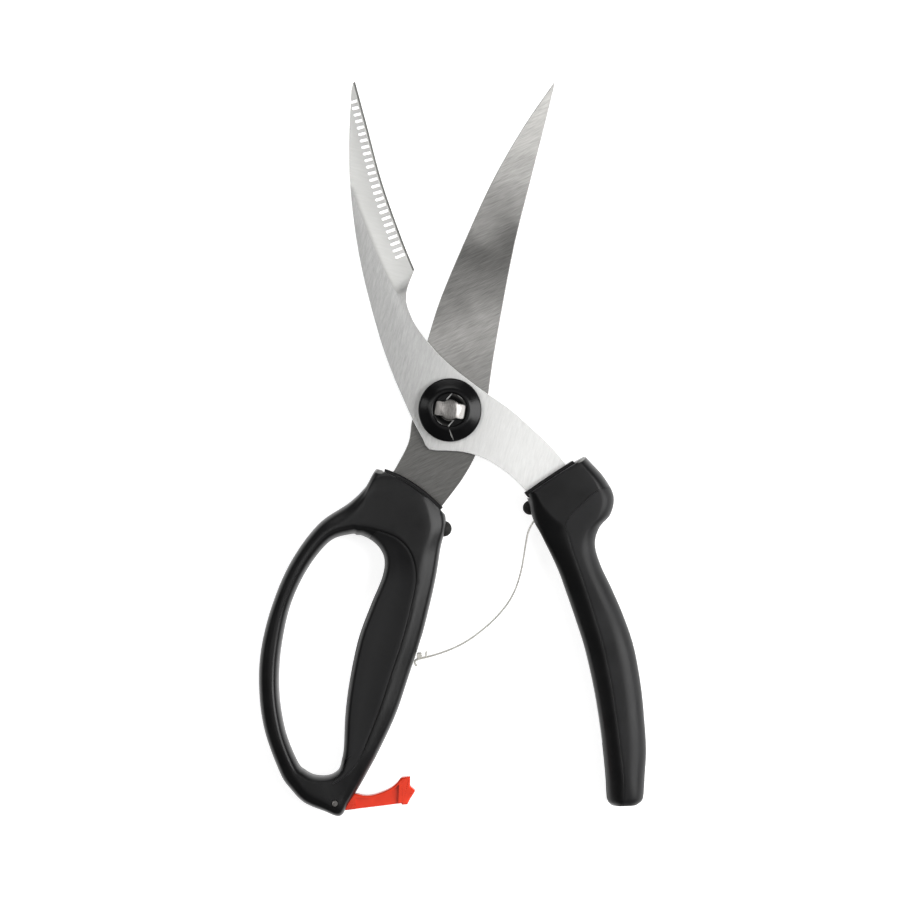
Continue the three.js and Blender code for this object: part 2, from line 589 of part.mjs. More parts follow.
const LATCH_TOP = [[-38.9, -134.5], [-33, -134.4], [-30.2, -135], [-27.4, -134.9], [-24, -133.9],
  [-20.8, -132.4], [-18.6, -130.6], [-17.2, -128.7]];
const LATCH_HEAD = [[-13.9, -128.3], [-14, -130.6], [-13.9, -131.9], [-12.8, -132.4], [-12.1, -133.3],
  [-12.8, -135], [-14, -136.2], [-14.9, -138], [-15.8, -138.3], [-17, -138]];
const LATCH_BOTTOM = [[-22.8, -138.5], [-28.7, -139.2], [-36.2, -140.1]];
const LATCH_WEB = [[-33, -136], [-28, -136.3], [-24, -135.3], [-20.4, -133.6], [-18, -131.6],
  [-18.3, -140], [-24, -141], [-33, -142]];

function latchLever() {
  const heel = arc(LATCH_PIN, 3, 255, 100, 6);
  const body = prism([...LATCH_TOP, ...LATCH_HEAD, ...LATCH_BOTTOM, ...heel],
    MID_Z - LATCH_HALF, MID_Z + LATCH_HALF);
  const web = [1, -1].map((side) => {
    const face = MID_Z + side * LATCH_HALF;
    return prism(LATCH_WEB, face - LATCH_WEB_DEPTH, face + LATCH_WEB_DEPTH);
  });
  return cut(body, ...web, drill(LATCH_PIN, LATCH_PIN_RADIUS + GAP));
}

// The slot in the loop handle's end that the latch swings in.
function latchSlot() {
  const outline = [...arc(LATCH_PIN, 3.5, 270, 95, 8), [-34, -131.4], [-26, -128], [-26, -141.4],
    [-36.5, -140.8]];
  const half = LATCH_HALF + LATCH_SIDE_CLEARANCE;
  return prism(outline, MID_Z - half, MID_Z + half);
}

// The pocket in the straight handle that takes the latch when the shears are closed. Its mouth
// is cut by the latch head's path, and the head hooks behind the lip above the mouth.
function latchPocket() {
  const pin = turned(LATCH_PIN, CLOSED_ANGLE);
  const outline = [...arc([0, 0], 128.3, -70, -64.85, 4), [53.5, -108.2], ...arc(pin, 28.7, 74.6, 40.5, 7),
    [67.5, -122.6], [65.5, -124.3], [61.5, -127.8], [57.4, -131.4], [56, -134], [56, -142], [44, -138]];
  const half = LATCH_HALF + LATCH_SIDE_CLEARANCE;
  return prism(outline, MID_Z - half, MID_Z + half);
}

// The groove in the loop handle's inner rim that the spring's slider runs in.
function sliderGroove() {
  const half = STRIP_HALF_WIDTH + SLIDER_CLEARANCE;
  const outline = [[-5, -80], [-5, -122], [-28.6, -121], [-21.4, -106], [-17.2, -95], [-13.8, -84.5],
    [-12, -79]];
  return prism(outline, MID_Z - half, MID_Z + half);
}

// ---------- handles ----------

function loopHandle() {
  const crease = [[-41.6, -44.6], [-40, -41.6], [-34.7, -40.8], [-28.7, -41.2], [-23.5, -42.5],
    [-18.3, -45.5], [-14.4, -50.3], [-12.2, -55.1], [-11.4, -61], [-11.8, -69], [-13.4, -78],
    [-16.5, -89.5], [-20.6, -100.5], [-25.4, -111], [-29.6, -118.6], [-34, -123.4]];
  const patch = [...through(crease, 2), [-39.6, -123.6], [-48, -110], [-48, -60]];
  const { shell, grip } = shellAndGrip(loopSurface, patch);
  const pinHole = drill(LATCH_PIN, LATCH_PIN_RADIUS + GAP);
  const collar = collarTool(LOOP_COLLAR, [12, 22], LOOP_LAND);
  const cavity = prism(grown(LOOP_CORE, GAP), MID_Z - CORE_HALF - GAP, MID_Z + CORE_HALF + GAP);
  return {
    shell: mainBody(cut(shell, collar, cavity, tangSlot(KNIFE_TANG, KNIFE_Z), pinHole, latchSlot(),
      sliderGroove(), bumperSeat(LOOP_BUMPER))),
    grip: mainBody(cut(grip, cavity)),
  };
}

function straightHandle() {
  const crease = [[58.5, -28.5], [51.3, -29.2], [45.9, -34.2], [42.3, -37], [40.5, -41], [40.9, -46.3],
    [42.7, -50.8], [47.7, -63.8], [50.7, -73], [54.7, -89], [58, -107], [60.3, -125], [61.3, -141]];
  const patch = [...through(crease, 2), [78, -141], [78, -28.5]];
  const { shell, grip } = shellAndGrip(straightSurface, patch);
  const collar = collarTool(STRAIGHT_COLLAR, [-12, 16], STRAIGHT_LAND);
  const cavity = prism(grown(STRAIGHT_CORE, GAP), MID_Z - CORE_HALF - GAP, MID_Z + CORE_HALF + GAP);
  return {
    shell: mainBody(cut(shell, collar, cavity, tangSlot(SERRATED_TANG, SERRATED_Z), latchPocket(),
      stripPieces().rootSlot, bumperSeat(STRAIGHT_BUMPER))),
    grip: mainBody(cut(grip, cavity, latchPocket())),
  };
}

// ---------- assembly ----------

const STEEL = { color: 0xbdbdb9, roughness: 0.34, metalness: 1 };
const KNIFE_STEEL = { color: 0x8d8b86, roughness: 0.38, metalness: 1 };
const SPRING_STEEL = { color: 0xb4b2ac, roughness: 0.3, metalness: 1 };
const HARD_PLASTIC = { color: 0x1b1b1c, roughness: 0.5, metalness: 0 };
const SOFT_PLASTIC = { color: 0x242425, roughness: 0.72, metalness: 0 };
const RUBBER = { color: 0x141413, roughness: 0.85, metalness: 0 };
const RED_PLASTIC = { color: 0xe8301e, roughness: 0.4, metalness: 0 };

const loop = loopHandle();
const straight = straightHandle();
const strip = stripPieces();
const pinEnds = [[...LATCH_PIN, MID_Z - LATCH_PIN_HALF], [...LATCH_PIN, MID_Z + LATCH_PIN_HALF]];

const parts = [
  ["serrated_blade", serratedBlade(), STEEL],
  ["knife_blade", knifeBlade(), KNIFE_STEEL],
  ["pivot_stud", pivotStud(), STEEL],
  ["pivot_ring", pivotRing(), HARD_PLASTIC],
  ["loop_core", handleCore(LOOP_CORE, KNIFE_TANG, KNIFE_Z, LOOP_TANG_PINS), HARD_PLASTIC],
  ["loop_handle", loop.shell, HARD_PLASTIC],
  ["loop_finger_liner", loop.grip, SOFT_PLASTIC],
  ["straight_core", handleCore(STRAIGHT_CORE, SERRATED_TANG, SERRATED_Z, STRAIGHT_TANG_PINS), HARD_PLASTIC],
  ["straight_handle", straight.shell, HARD_PLASTIC],
  ["straight_grip_panel", straight.grip, SOFT_PLASTIC],
  ["loop_bumper", bumper(LOOP_BUMPER), RUBBER],
  ["straight_bumper", bumper(STRAIGHT_BUMPER), RUBBER],
  ["spring_root", strip.root, SPRING_STEEL],
  ["spring_leaf", strip.leaf, SPRING_STEEL],
  ["spring_tip", strip.tip.add(springSlider()), SPRING_STEEL],
  ["latch_lever", latchLever(), RED_PLASTIC],
  ["latch_pin", bar(...pinEnds, LATCH_PIN_RADIUS, 16), STEEL],
  ...LOOP_TANG_PINS.map((pin, i) => [`loop_tang_pin_${i + 1}`, tangPin(pin), STEEL]),
  ...STRAIGHT_TANG_PINS.map((pin, i) => [`straight_tang_pin_${i + 1}`, tangPin(pin), STEEL]),
];

const shears = new THREE.Group();
parts.forEach(([name, solid, look]) => {
  const mesh = new THREE.Mesh(geometryOf(solid), new THREE.MeshStandardMaterial(look));
  mesh.name = name;
  shears.add(mesh);
});

export default shears;
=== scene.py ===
# Poultry shears: the visual model and its studio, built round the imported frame.
import math

import bmesh
import bpy
from mathutils import Matrix, Vector
from mathutils.geometry import intersect_point_line


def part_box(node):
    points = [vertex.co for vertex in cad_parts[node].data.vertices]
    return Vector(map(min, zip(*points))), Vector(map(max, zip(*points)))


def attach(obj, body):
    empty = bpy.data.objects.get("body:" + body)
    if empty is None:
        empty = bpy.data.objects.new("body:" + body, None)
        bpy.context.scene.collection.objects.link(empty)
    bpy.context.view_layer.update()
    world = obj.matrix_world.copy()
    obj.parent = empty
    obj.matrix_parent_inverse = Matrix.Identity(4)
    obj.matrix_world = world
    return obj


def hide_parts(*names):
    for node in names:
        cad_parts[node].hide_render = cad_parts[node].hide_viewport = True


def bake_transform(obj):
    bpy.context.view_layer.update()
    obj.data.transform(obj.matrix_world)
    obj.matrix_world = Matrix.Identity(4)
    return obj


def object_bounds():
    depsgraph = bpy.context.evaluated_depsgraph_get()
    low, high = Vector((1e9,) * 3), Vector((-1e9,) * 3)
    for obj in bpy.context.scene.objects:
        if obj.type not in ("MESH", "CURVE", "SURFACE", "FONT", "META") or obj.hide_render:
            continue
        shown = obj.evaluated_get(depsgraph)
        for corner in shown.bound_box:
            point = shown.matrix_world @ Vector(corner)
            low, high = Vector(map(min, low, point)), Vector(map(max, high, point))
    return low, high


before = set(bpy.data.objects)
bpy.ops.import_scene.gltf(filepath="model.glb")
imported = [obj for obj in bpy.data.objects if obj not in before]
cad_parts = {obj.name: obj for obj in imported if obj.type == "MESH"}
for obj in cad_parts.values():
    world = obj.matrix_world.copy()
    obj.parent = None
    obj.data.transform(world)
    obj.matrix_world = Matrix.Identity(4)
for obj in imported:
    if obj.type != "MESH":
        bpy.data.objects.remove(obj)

cad_box = [list(corner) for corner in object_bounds()]

# Outlines below are in millimetres in the part's frame; mesh_object turns them into metres.
MM = 0.001


def levels(node):
    """The lowest and highest z of a CAD node, in millimetres."""
    low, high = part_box(node)
    return low[2] / MM, high[2] / MM


KNIFE_LOW, KNIFE_TOP = levels("knife_blade")
SERRATED_LOW, SERRATED_TOP = levels("serrated_blade")
STUD_BACK, STUD_TOP = levels("pivot_stud")
RING_LOW, RING_TOP = levels("pivot_ring")
LATCH_LOW, LATCH_TOP = levels("latch_lever")
STRIP_LOW, STRIP_TOP = levels("spring_leaf")
CORE_LOW, CORE_TOP = levels("loop_core")
MID_Z = (CORE_LOW + CORE_TOP) / 2
# The handles stay this little inside the CAD's box.
INSET = 0.01
HANDLE_HALF = levels("straight_handle")[1] - MID_Z - INSET

SEAM = 0.07
GAP = 0.3
GRIP_SKIN = 1.6
SMOOTH_ANGLE = math.radians(32)


# ---------- curves ----------

def mix(a, b, t):
    return a + (b - a) * t


def mix_point(a, b, t):
    return tuple(mix(p, q, t) for p, q in zip(a, b))


def through(rows, steps, closed=False):
    """A Catmull-Rom curve through rows of numbers, sampled a few times in each span."""
    last = len(rows) - 1

    def row(i):
        return rows[i % len(rows)] if closed else rows[min(max(i, 0), last)]

    out = []
    for i in range(len(rows) if closed else last):
        quad = list(zip(row(i - 1), row(i), row(i + 1), row(i + 2)))
        for k in range(steps):
            t = k / steps
            out.append(tuple(
                0.5 * (2 * b + (c - a) * t + (2 * a - 5 * b + 4 * c - d) * t * t
                       + (3 * b - a - 3 * c + d) * t ** 3)
                for a, b, c, d in quad))
    return out if closed else out + [tuple(rows[last])]


def turned(point, degrees, centre=(0, 0)):
    c, s = math.cos(math.radians(degrees)), math.sin(math.radians(degrees))
    x, y = point[0] - centre[0], point[1] - centre[1]
    return centre[0] + x * c - y * s, centre[1] + x * s + y * c


def arc(centre, radius, start, end, count):
    edge = (centre[0] + radius, centre[1])
    return [turned(edge, mix(start, end, i / count), centre) for i in range(count + 1)]


def circle(centre, radius, count):
    return arc(centre, radius, 0, 360 - 360 / count, count - 1)


def area(outline):
    pairs = zip(outline, outline[1:] + outline[:1])
    return sum(a[0] * b[1] - b[0] * a[1] for a, b in pairs) / 2


def grown(outline, margin):
    """An outline grown outwards by a margin, corner by corner."""
    turn = math.copysign(1, area(outline))

    def normal(a, b):
        length = math.hypot(b[0] - a[0], b[1] - a[1]) or 1
        return (b[1] - a[1]) * turn / length, (a[0] - b[0]) * turn / length

    out = []
    for i, point in enumerate(outline):
        n = normal(outline[i - 1], point)
        m = normal(point, outline[(i + 1) % len(outline)])
        reach = margin / max(0.5, 1 + n[0] * m[0] + n[1] * m[1])
        out.append((point[0] + (n[0] + m[0]) * reach, point[1] + (n[1] + m[1]) * reach))
    return out


def rounded_corners(outline, radius, steps=5):
    """An outline with its corners cut off along a quadratic curve."""
    out = []
    for i, corner in enumerate(outline):
        ends = []
        for other in (outline[i - 1], outline[(i + 1) % len(outline)]):
            length = math.dist(corner, other)
            ends.append(mix_point(corner, other, min(radius, length * 0.45) / length))
        for k in range(steps + 1):
            t = k / steps
            first = mix_point(ends[0], corner, t)
            out.append(mix_point(first, mix_point(corner, ends[1], t), t))
    return out


# ---------- meshes ----------

def mesh_object(name, vertices, faces):
    mesh = bpy.data.meshes.new(name)
    mesh.from_pydata([tuple(c * MM for c in v) for v in vertices], [], faces)
    mesh.update()
    piece = bpy.data.objects.new(name, mesh)
    bpy.context.scene.collection.objects.link(piece)
    return piece


def loft(name, rings, looped=False):
    """Rings of (x, y, z) joined in order, looped round or with both ends capped."""
    size = len(rings[0])
    vertices = [v for ring in rings for v in ring]
    faces = []
    for i in range(len(rings) if looped else len(rings) - 1):
        here, after = i * size, (i + 1) % len(rings) * size
        for j in range(size):
            k = (j + 1) % size
            faces.append((here + j, here + k, after + k, after + j))
    if not looped:
        faces.append(tuple(reversed(range(size))))
        faces.append(tuple(range(len(vertices) - size, len(vertices))))
    return outwards(mesh_object(name, vertices, faces))


def outwards(piece):
    """Turns a closed mesh's faces outwards, going by its signed volume."""
    mesh = piece.data
    volume = 0
    for face in mesh.polygons:
        a, *rest = [mesh.vertices[i].co for i in face.vertices]
        volume += sum(a.dot(b.cross(c)) for b, c in zip(rest, rest[1:]))
    if volume < 0:
        mesh.flip_normals()
    return piece


def plate(name, outline, low, high, chamfer=0.0, foot=None):
    """A flat outline made solid, with its top and bottom edges broken by a small chamfer."""
    foot = chamfer if foot is None else foot
    steps = [(-foot, low), (0, low + foot), (0, high - chamfer), (-chamfer, high)]
    if not chamfer:
        steps = [(0, low), (0, high)]
    rings = [[(x, y, z) for x, y in (grown(outline, margin) if margin else outline)]
             for margin, z in steps]
    return loft(name, rings)


def lathe(name, profile, count=96, place=None):
    """A profile of (radius, height) turned about Z; points on the axis close it."""
    rings = []
    for i in range(count):
        angle = 2 * math.pi * i / count
        rings.append([(max(r, 1e-4) * math.cos(angle), max(r, 1e-4) * math.sin(angle), z)
                      for r, z in profile])
    piece = loft(name, rings, looped=True)
    if profile[0][0] == 0:
        fill_holes(piece)
    if place:
        piece.data.transform(place)
    return piece


def fill_holes(piece):
    """Merges the tiny rings that a profile's ends leave on the axis."""
    work = bmesh.new()
    work.from_mesh(piece.data)
    bmesh.ops.remove_doubles(work, verts=work.verts, dist=1e-6)
    bmesh.ops.dissolve_degenerate(work, edges=work.edges, dist=1e-8)
    work.to_mesh(piece.data)
    work.free()
    outwards(piece)


def bar(name, start, end, radius, count=24, dome=False):
    """A round bar between two points, with a domed far end if asked."""
    along = Vector(end) - Vector(start)
    length = along.length
    profile = [(0, 0), (radius, 0), (radius, length)]
    if dome:
        profile += [(radius * math.cos(a), length + radius * math.sin(a))
                    for a in (math.pi / 2 * k / 6 for k in range(1, 6))]
        profile += [(0, length + radius)]
    else:
        profile += [(0, length)]
    turn = Vector((0, 0, 1)).rotation_difference(along).to_matrix().to_4x4()
    place = Matrix.Translation(Vector(start) * MM) @ turn
    return lathe(name, profile, count, place)


def applied(piece):
    """Bakes a piece's modifiers into its mesh."""
    graph = bpy.context.evaluated_depsgraph_get()
    baked = bpy.data.meshes.new_from_object(piece.evaluated_get(graph))
    old = piece.data
    piece.modifiers.clear()
    piece.data = baked
    bpy.data.meshes.remove(old)
    return piece


def combine(piece, tools, operation):
    for tool in tools:
        modifier = piece.modifiers.new(operation, "BOOLEAN")
        modifier.operation = operation
        modifier.solver = "MANIFOLD"
        modifier.object = tool
        applied(piece)
        discard(tool)
    return piece


def cut(piece, *tools):
    return combine(piece, tools, "DIFFERENCE")


def join(piece, *tools):
    return combine(piece, tools, "UNION")


def discard(piece):
    mesh = piece.data
    bpy.data.objects.remove(piece)
    bpy.data.meshes.remove(mesh)


def main_body(piece):
    """Keeps a cut mesh's biggest loose part, which drops any crumb that a cut leaves."""
    work = bmesh.new()
    work.from_mesh(piece.data)
    bmesh.ops.remove_doubles(work, verts=work.verts, dist=2e-6)
    left = set(work.verts)
    parts = []
    while left:
        stack = [left.pop()]
        part = set(stack)
        while stack:
            for edge in stack.pop().link_edges:
                for vertex in edge.verts:
                    if vertex in left:
                        left.discard(vertex)
                        part.add(vertex)
                        stack.append(vertex)
        parts.append(part)
    biggest = max(parts, key=len)
    bmesh.ops.delete(work, geom=[v for v in work.verts if v not in biggest], context="VERTS")
    work.to_mesh(piece.data)
    work.free()
    return piece


def finished(piece, body, slot, material, *nodes):
    """Shades a piece, gives it its materials, hangs it on its body and hides the CAD nodes that it stands
    for; slot is not used.
    """
    mesh = piece.data
    mesh.shade_smooth()
    mesh.set_sharp_from_angle(angle=SMOOTH_ANGLE)
    mesh.materials.clear()
    for one in material if isinstance(material, list) else [material]:
        mesh.materials.append(one)
    if body:
        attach(piece, body)
    if nodes:
        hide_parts(*nodes)
    return piece


# ---------- materials ----------

class Shader:
    """A small helper that adds and links nodes of one material."""

    def __init__(self, name):
        self.material = bpy.data.materials.new(name)
        self.material.use_nodes = True
        self.tree = self.material.node_tree
        self.surface = self.tree.nodes["Principled BSDF"]
        self.place = self.node("TexCoord").outputs["Object"]

    def put(self, socket, value):
        """Links another node's output to a socket, or sets a plain value on it."""
        if isinstance(value, bpy.types.NodeSocket):
            self.tree.links.new(value, socket)
        else:
            socket.default_value = value

    def node(self, kind, settings=(), **inputs):
        """A new node with its settings, given as pairs, and its inputs, given by name."""
        node = self.tree.nodes.new(f"ShaderNode{kind}")
        for name, value in settings:
            setattr(node, name, value)
        for name, value in inputs.items():
            self.put(node.inputs[name.replace("_", " ")], value)
        return node

    def set(self, **inputs):
        for name, value in inputs.items():
            self.put(self.surface.inputs[name.replace("_", " ")], value)
        return self

    def noise(self, scale, degrees=0, detail=4.0, rough=0.55):
        """Noise stretched along the object's axes, after these are turned about Z."""
        kind = "TEXTURE" if degrees else "POINT"
        place = self.node("Mapping", [("vector_type", kind)], Vector=self.place,
                          Rotation=(0, 0, math.radians(degrees))).outputs["Vector"]
        place = self.node("Mapping", Vector=place, Scale=scale).outputs["Vector"]
        node = self.node("TexNoise", Vector=place, Scale=1.0, Detail=detail, Roughness=rough)
        return node.outputs["Fac"]

    def remap(self, value, low, high, start=0.0, end=1.0, smooth=False):
        kind = "SMOOTHSTEP" if smooth else "LINEAR"
        node = self.node("MapRange", [("interpolation_type", kind)], Value=value, From_Min=start,
                         From_Max=end, To_Min=low, To_Max=high)
        return node.outputs["Result"]

    def math(self, operation, a, b):
        node = self.node("Math", [("operation", operation)])
        for socket, value in zip(node.inputs, (a, b)):
            self.put(socket, value)
        return node.outputs["Value"]

    def weighed_sum(self, *parts):
        """The sum of values, each given with its weight."""
        weighed = [self.math("MULTIPLY", value, weight) for value, weight in parts]
        total = weighed[0]
        for value in weighed[1:]:
            total = self.math("ADD", total, value)
        return total

    def colour(self, factor, low, high, kind="MIX"):
        low, high = [(*tone, 1) if isinstance(tone, tuple) else tone for tone in (low, high)]
        settings = [("data_type", "RGBA"), ("blend_type", kind)]
        return self.node("Mix", settings, Factor=factor, A=low, B=high).outputs["Result"]

    def spot(self, x, y, degrees, length, width):
        """1 inside an oval round a point, fading to 0 at its rim."""
        oval = self.node("Mapping", [("vector_type", "TEXTURE")], Vector=self.place,
                         Location=(x * MM, y * MM, 0), Rotation=(0, 0, math.radians(degrees)),
                         Scale=(length * MM, width * MM, 1)).outputs["Vector"]
        reach = self.node("VectorMath", [("operation", "LENGTH")], Vector=oval).outputs["Value"]
        return self.remap(reach, 1, 0, 0.75, 1.1, smooth=True)

    def axis(self, name):
        return self.node("SeparateXYZ", Vector=self.place).outputs[name]

    def bump(self, height, distance, strength):
        node = self.node("Bump", Height=height, Distance=distance, Strength=strength)
        return self.set(Normal=node.outputs["Normal"])


def brushed_steel(name, dark, light, degrees, roughness, contrast=1, painted_sheen=None):
    """Steel with fine scratches along one direction; the last argument, if given, is two x places and a
    painted rise in brightness between them.
    """
    shader = Shader(name).set(Metallic=1.0)
    fine = shader.noise((420, 4200, 420), degrees, 4, 0.75)
    broad = shader.noise((160, 1300, 160), degrees, 3)
    cloud = shader.noise((14, 14, 14), 0, 2)
    mixed = shader.weighed_sum((fine, 0.45), (broad, 0.3), (cloud, 0.25))
    tone = shader.remap(mixed, 0, contrast, 0.3, 0.75)
    # Painted sheen: the tone rises between the two x places, so one side of the piece is painted brighter.
    if painted_sheen:
        painted_lift = shader.remap(shader.axis("X"), 0, painted_sheen[2], painted_sheen[0] * MM, painted_sheen[1] * MM, smooth=True)
        tone = shader.math("ADD", tone, painted_lift)
    shader.set(Base_Color=shader.colour(tone, dark, light),
               Roughness=shader.remap(fine, roughness - 0.07, roughness + 0.09, 0.3, 0.7))
    return shader.bump(fine, 0.00001, 0.5).material


# Painted highlights on the collars' ends, and the pale line along the ring's mark: x, y, direction, half
# length, half width.
COLLAR_END_HIGHLIGHTS = [(-25.0, -21.0, -14, 2.3, 1.2), (45.6, -17.2, 30.6, 2.2, 0.9)]
RING_MARK = (0.5, -8.7, -69, 2.1, 0.28)
HIGHLIGHT_AND_MARK_TONE = (0.16, 0.16, 0.155)


def moulded_plastic(name, dark, light, roughness, grain, depth, specular, highlights_and_marks=()):
    """Plastic with a fine moulded grain, faint clouding and slightly uneven gloss, and any pale ovals it is
    given painted over its tone.
    """
    shader = Shader(name).set(Specular_IOR_Level=specular)
    cloud = shader.noise((90, 90, 90), 0, 3)
    fine = shader.noise((grain, grain, grain), 0, 3, 0.6)
    tone = shader.colour(shader.remap(cloud, 0, 1, 0.3, 0.7), dark, light)
    for oval in highlights_and_marks:
        # Pale ovals mixed in here: painted highlights on the collars' ends, and the pale line of the ring's
        # mark.
        tone = shader.colour(shader.spot(*oval), tone, HIGHLIGHT_AND_MARK_TONE)
    shader.set(Base_Color=tone,
               Roughness=shader.remap(cloud, roughness - 0.05, roughness + 0.05, 0.3, 0.7))
    return shader.bump(fine, depth, 0.6).material


# Radius of a painted shadow: the knife is painted near black round the pivot, where it lies deep under the
# ring's notches.
PIVOT_SHADOW_RADIUS = 6.2
# How bright the knife's ground face is painted at heights above the pivot, from its tang to its tip: painted
# reflection bands.
KNIFE_REFLECTION_TONES = [(-50, 0.1), (-12, 0.11), (8, 0.21), (28, 0.265), (42, 0.16), (55, 0.105), (68, 0.235),
               (84, 0.37), (98, 0.47), (114, 0.5)]


def knife_steel():
    """Grey steel with diagonal grinding marks; painted reflection bands make it paler towards its tip and
    darker above its middle, and a painted shadow blackens it round the pivot.
    """
    shader = Shader("knife_steel").set(Metallic=1.0)
    marks = shader.noise((200, 5200, 200), 33, 4, 0.65)
    sweep = shader.noise((120, 2600, 120), 22, 3, 0.6)
    cloud = shader.noise((60, 30, 60), 25, 2)
    lowest, highest = KNIFE_REFLECTION_TONES[0][0], KNIFE_REFLECTION_TONES[-1][0]
    along = shader.remap(shader.axis("Y"), 0, 1, lowest * MM, highest * MM)
    along = shader.math("ADD", along, shader.remap(cloud, -0.03, 0.03, 0.3, 0.7))
    ramp = shader.node("ValToRGB", Fac=along)
    ramp.color_ramp.interpolation = "EASE"
    stops = ramp.color_ramp.elements
    for i, (height, tone) in enumerate(KNIFE_REFLECTION_TONES):
        share = (height - lowest) / (highest - lowest)
        stop = stops[i] if i < 2 else stops.new(share)
        stop.position = share
        stop.color = (tone, tone * 0.985, tone * 0.95, 1)
    grain = shader.remap(shader.weighed_sum((marks, 0.6), (sweep, 0.4)), 0, 1, 0.35, 0.65)
    shade = shader.colour(grain, (0.7, 0.7, 0.7), (1.25, 1.25, 1.25))
    ground = shader.colour(1, ramp.outputs["Color"], shade, "MULTIPLY")
    # Painted shadow: near black in a disc round the pivot.
    seat = shader.spot(0, 0, 0, PIVOT_SHADOW_RADIUS, PIVOT_SHADOW_RADIUS)
    shader.set(Base_Color=shader.colour(seat, ground, (0.006, 0.006, 0.006)),
               Roughness=shader.remap(marks, 0.34, 0.46, 0.3, 0.7))
    return shader.bump(marks, 0.00001, 0.4).material


# The blade's steel is painted brighter towards its tang on the right: a painted reflection.
BLADE_STEEL = brushed_steel("blade_steel", (0.235, 0.235, 0.232), (0.93, 0.93, 0.915), 76, 0.38, 0.3,
                            (-25, 30, 0.42))
# The ground bevel's own grind runs across the blade; its separate tone is painted in for how its tilted face
# catches light.
BEVEL_STEEL = brushed_steel("bevel_steel", (0.28, 0.28, 0.273), (0.36, 0.36, 0.35), -15, 0.36, 0.8)
# Cutting facets: near-black steel, painted shade along the cutting edge.
EDGE_SHADE_STEEL = brushed_steel("edge_shade_steel", (0.04, 0.04, 0.038), (0.12, 0.12, 0.115), 70, 0.4)
# Side walls: a shaded copy of the steel, painted shade.
SIDE_SHADE_STEEL = brushed_steel("side_shade_steel", (0.3, 0.3, 0.295), (0.5, 0.5, 0.49), 76, 0.42)
# Grooves and chamfers: near-white steel, painted highlights.
PAINTED_HIGHLIGHT_STEEL = brushed_steel("painted_highlight_steel", (0.93, 0.93, 0.92), (1, 1, 1), 15, 0.5)
KNIFE_STEEL = knife_steel()
# The stud's steel is painted bright on its right side and dark on its left: a painted highlight. The pins
# that share this steel take the same painted light by where they sit.
STUD_STEEL = brushed_steel("stud_steel", (0.06, 0.057, 0.054), (0.6, 0.58, 0.56), 80, 0.3, 0.5,
                           (1.6, 3.4, 0.9))
STRIP_STEEL = brushed_steel("strip_steel", (0.35, 0.34, 0.31), (0.65, 0.64, 0.6), 90, 0.35)
# The hard black carries the painted highlights on the collars' ends.
HARD_BLACK = moulded_plastic("hard_black", (0.0035, 0.0035, 0.0037), (0.005, 0.005, 0.0052), 0.33, 5200,
                             0.00002, 0.2, COLLAR_END_HIGHLIGHTS)
SOFT_BLACK = moulded_plastic("soft_black", (0.008, 0.008, 0.0083), (0.012, 0.012, 0.0125), 0.42, 7000,
                             0.00002, 0.155)
RING_BLACK = moulded_plastic("ring_black", (0.002, 0.002, 0.0022), (0.004, 0.004, 0.0043), 0.2, 4200,
                             0.00001, 0.16, [RING_MARK])
RUBBER = moulded_plastic("bump_rubber", (0.003, 0.003, 0.0026), (0.007, 0.007, 0.0064), 0.7, 6000,
                         0.00004, 0.3)
LATCH_RED = moulded_plastic("latch_red", (0.5, 0.022, 0.005), (0.74, 0.04, 0.01), 0.3, 3800, 0.00001, 0.35)


# ---------- blades ----------

SERRATED_EDGE = [(-33.3, 115.2), (-29.2, 100), (-23.9, 80), (-16.9, 60), (-12.5, 49.2)]
SERRATED_GRIND = [(-42, 113), (-40, 98), (-35.2, 79.5), (-27.5, 58.7), (-20.2, 43.3)]
KNIFE_EDGE = [(36.66, 115.15), (25.8, 99.3), (15.1, 80.7), (5.5, 60), (-3.2, 39.3), (-7.8, 24.8)]
KNIFE_GRIND = [(41, 112), (33.8, 98), (27.5, 78), (21.5, 57), (13.5, 36.5), (-3.5, 21.5)]
EDGE_THICKNESS = 0.5
BEVEL_DEPTH = SERRATED_TOP - SERRATED_LOW - EDGE_THICKNESS
BEVEL_HOLLOW = 0.12
SERRATION_COUNT = 25
SERRATION_RADIUS = 0.6
SERRATION_LIFT = 0.24
SERRATION_START = 1
LENGTH_AT_TIP = 3.5
LENGTH_AT_HEEL = 4.6
FIRST_SERRATION = 6.8
LAST_SERRATION = 63
MICRO_BEVEL = 0.8
MICRO_DROP = 0.86
EDGE_ZONE = 1.5
KNIFE_TANG = [(-20.2, -30), (-17, -41), (-16.5, -50), (-11.4, -50), (-11, -41)]
SERRATED_TANG = [(44.6, -26), (45.6, -36), (45.6, -46), (42.4, -46), (38, -34.5), (33, -28.6)]
KEYHOLE_ANGLE = 50
HOLE_RADIUS = 3.85
EAR_SPAN = 10.8
EAR_WIDTH = 5.5
EAR_ANGLE = -9
PIN_RADIUS = 1.1
LOOP_PINS = [(-12.6, -31), (-13.8, -44)]
STRAIGHT_PINS = [(39.3, -26), (42.6, -37)]


def bevel_tool(edge, grind, face, side):
    """What is ground off a blade from its grind line to past its edge, slightly hollow."""
    over, count = 1.3, 10
    rings = []
    for e, g in zip(edge, grind):
        ring = []
        for k in range(count + 1):
            t = over * k / count
            sag = BEVEL_DEPTH * t + BEVEL_HOLLOW * math.sin(math.pi * min(t, 1))
            x, y = mix_point(g, e, t)
            ring.append((x, y, face - side * sag))
        far = mix_point(g, e, over)
        ring += [(*far, face + side), (*g, face + side)]
        rings.append(ring)
    return loft("bevel", rings)


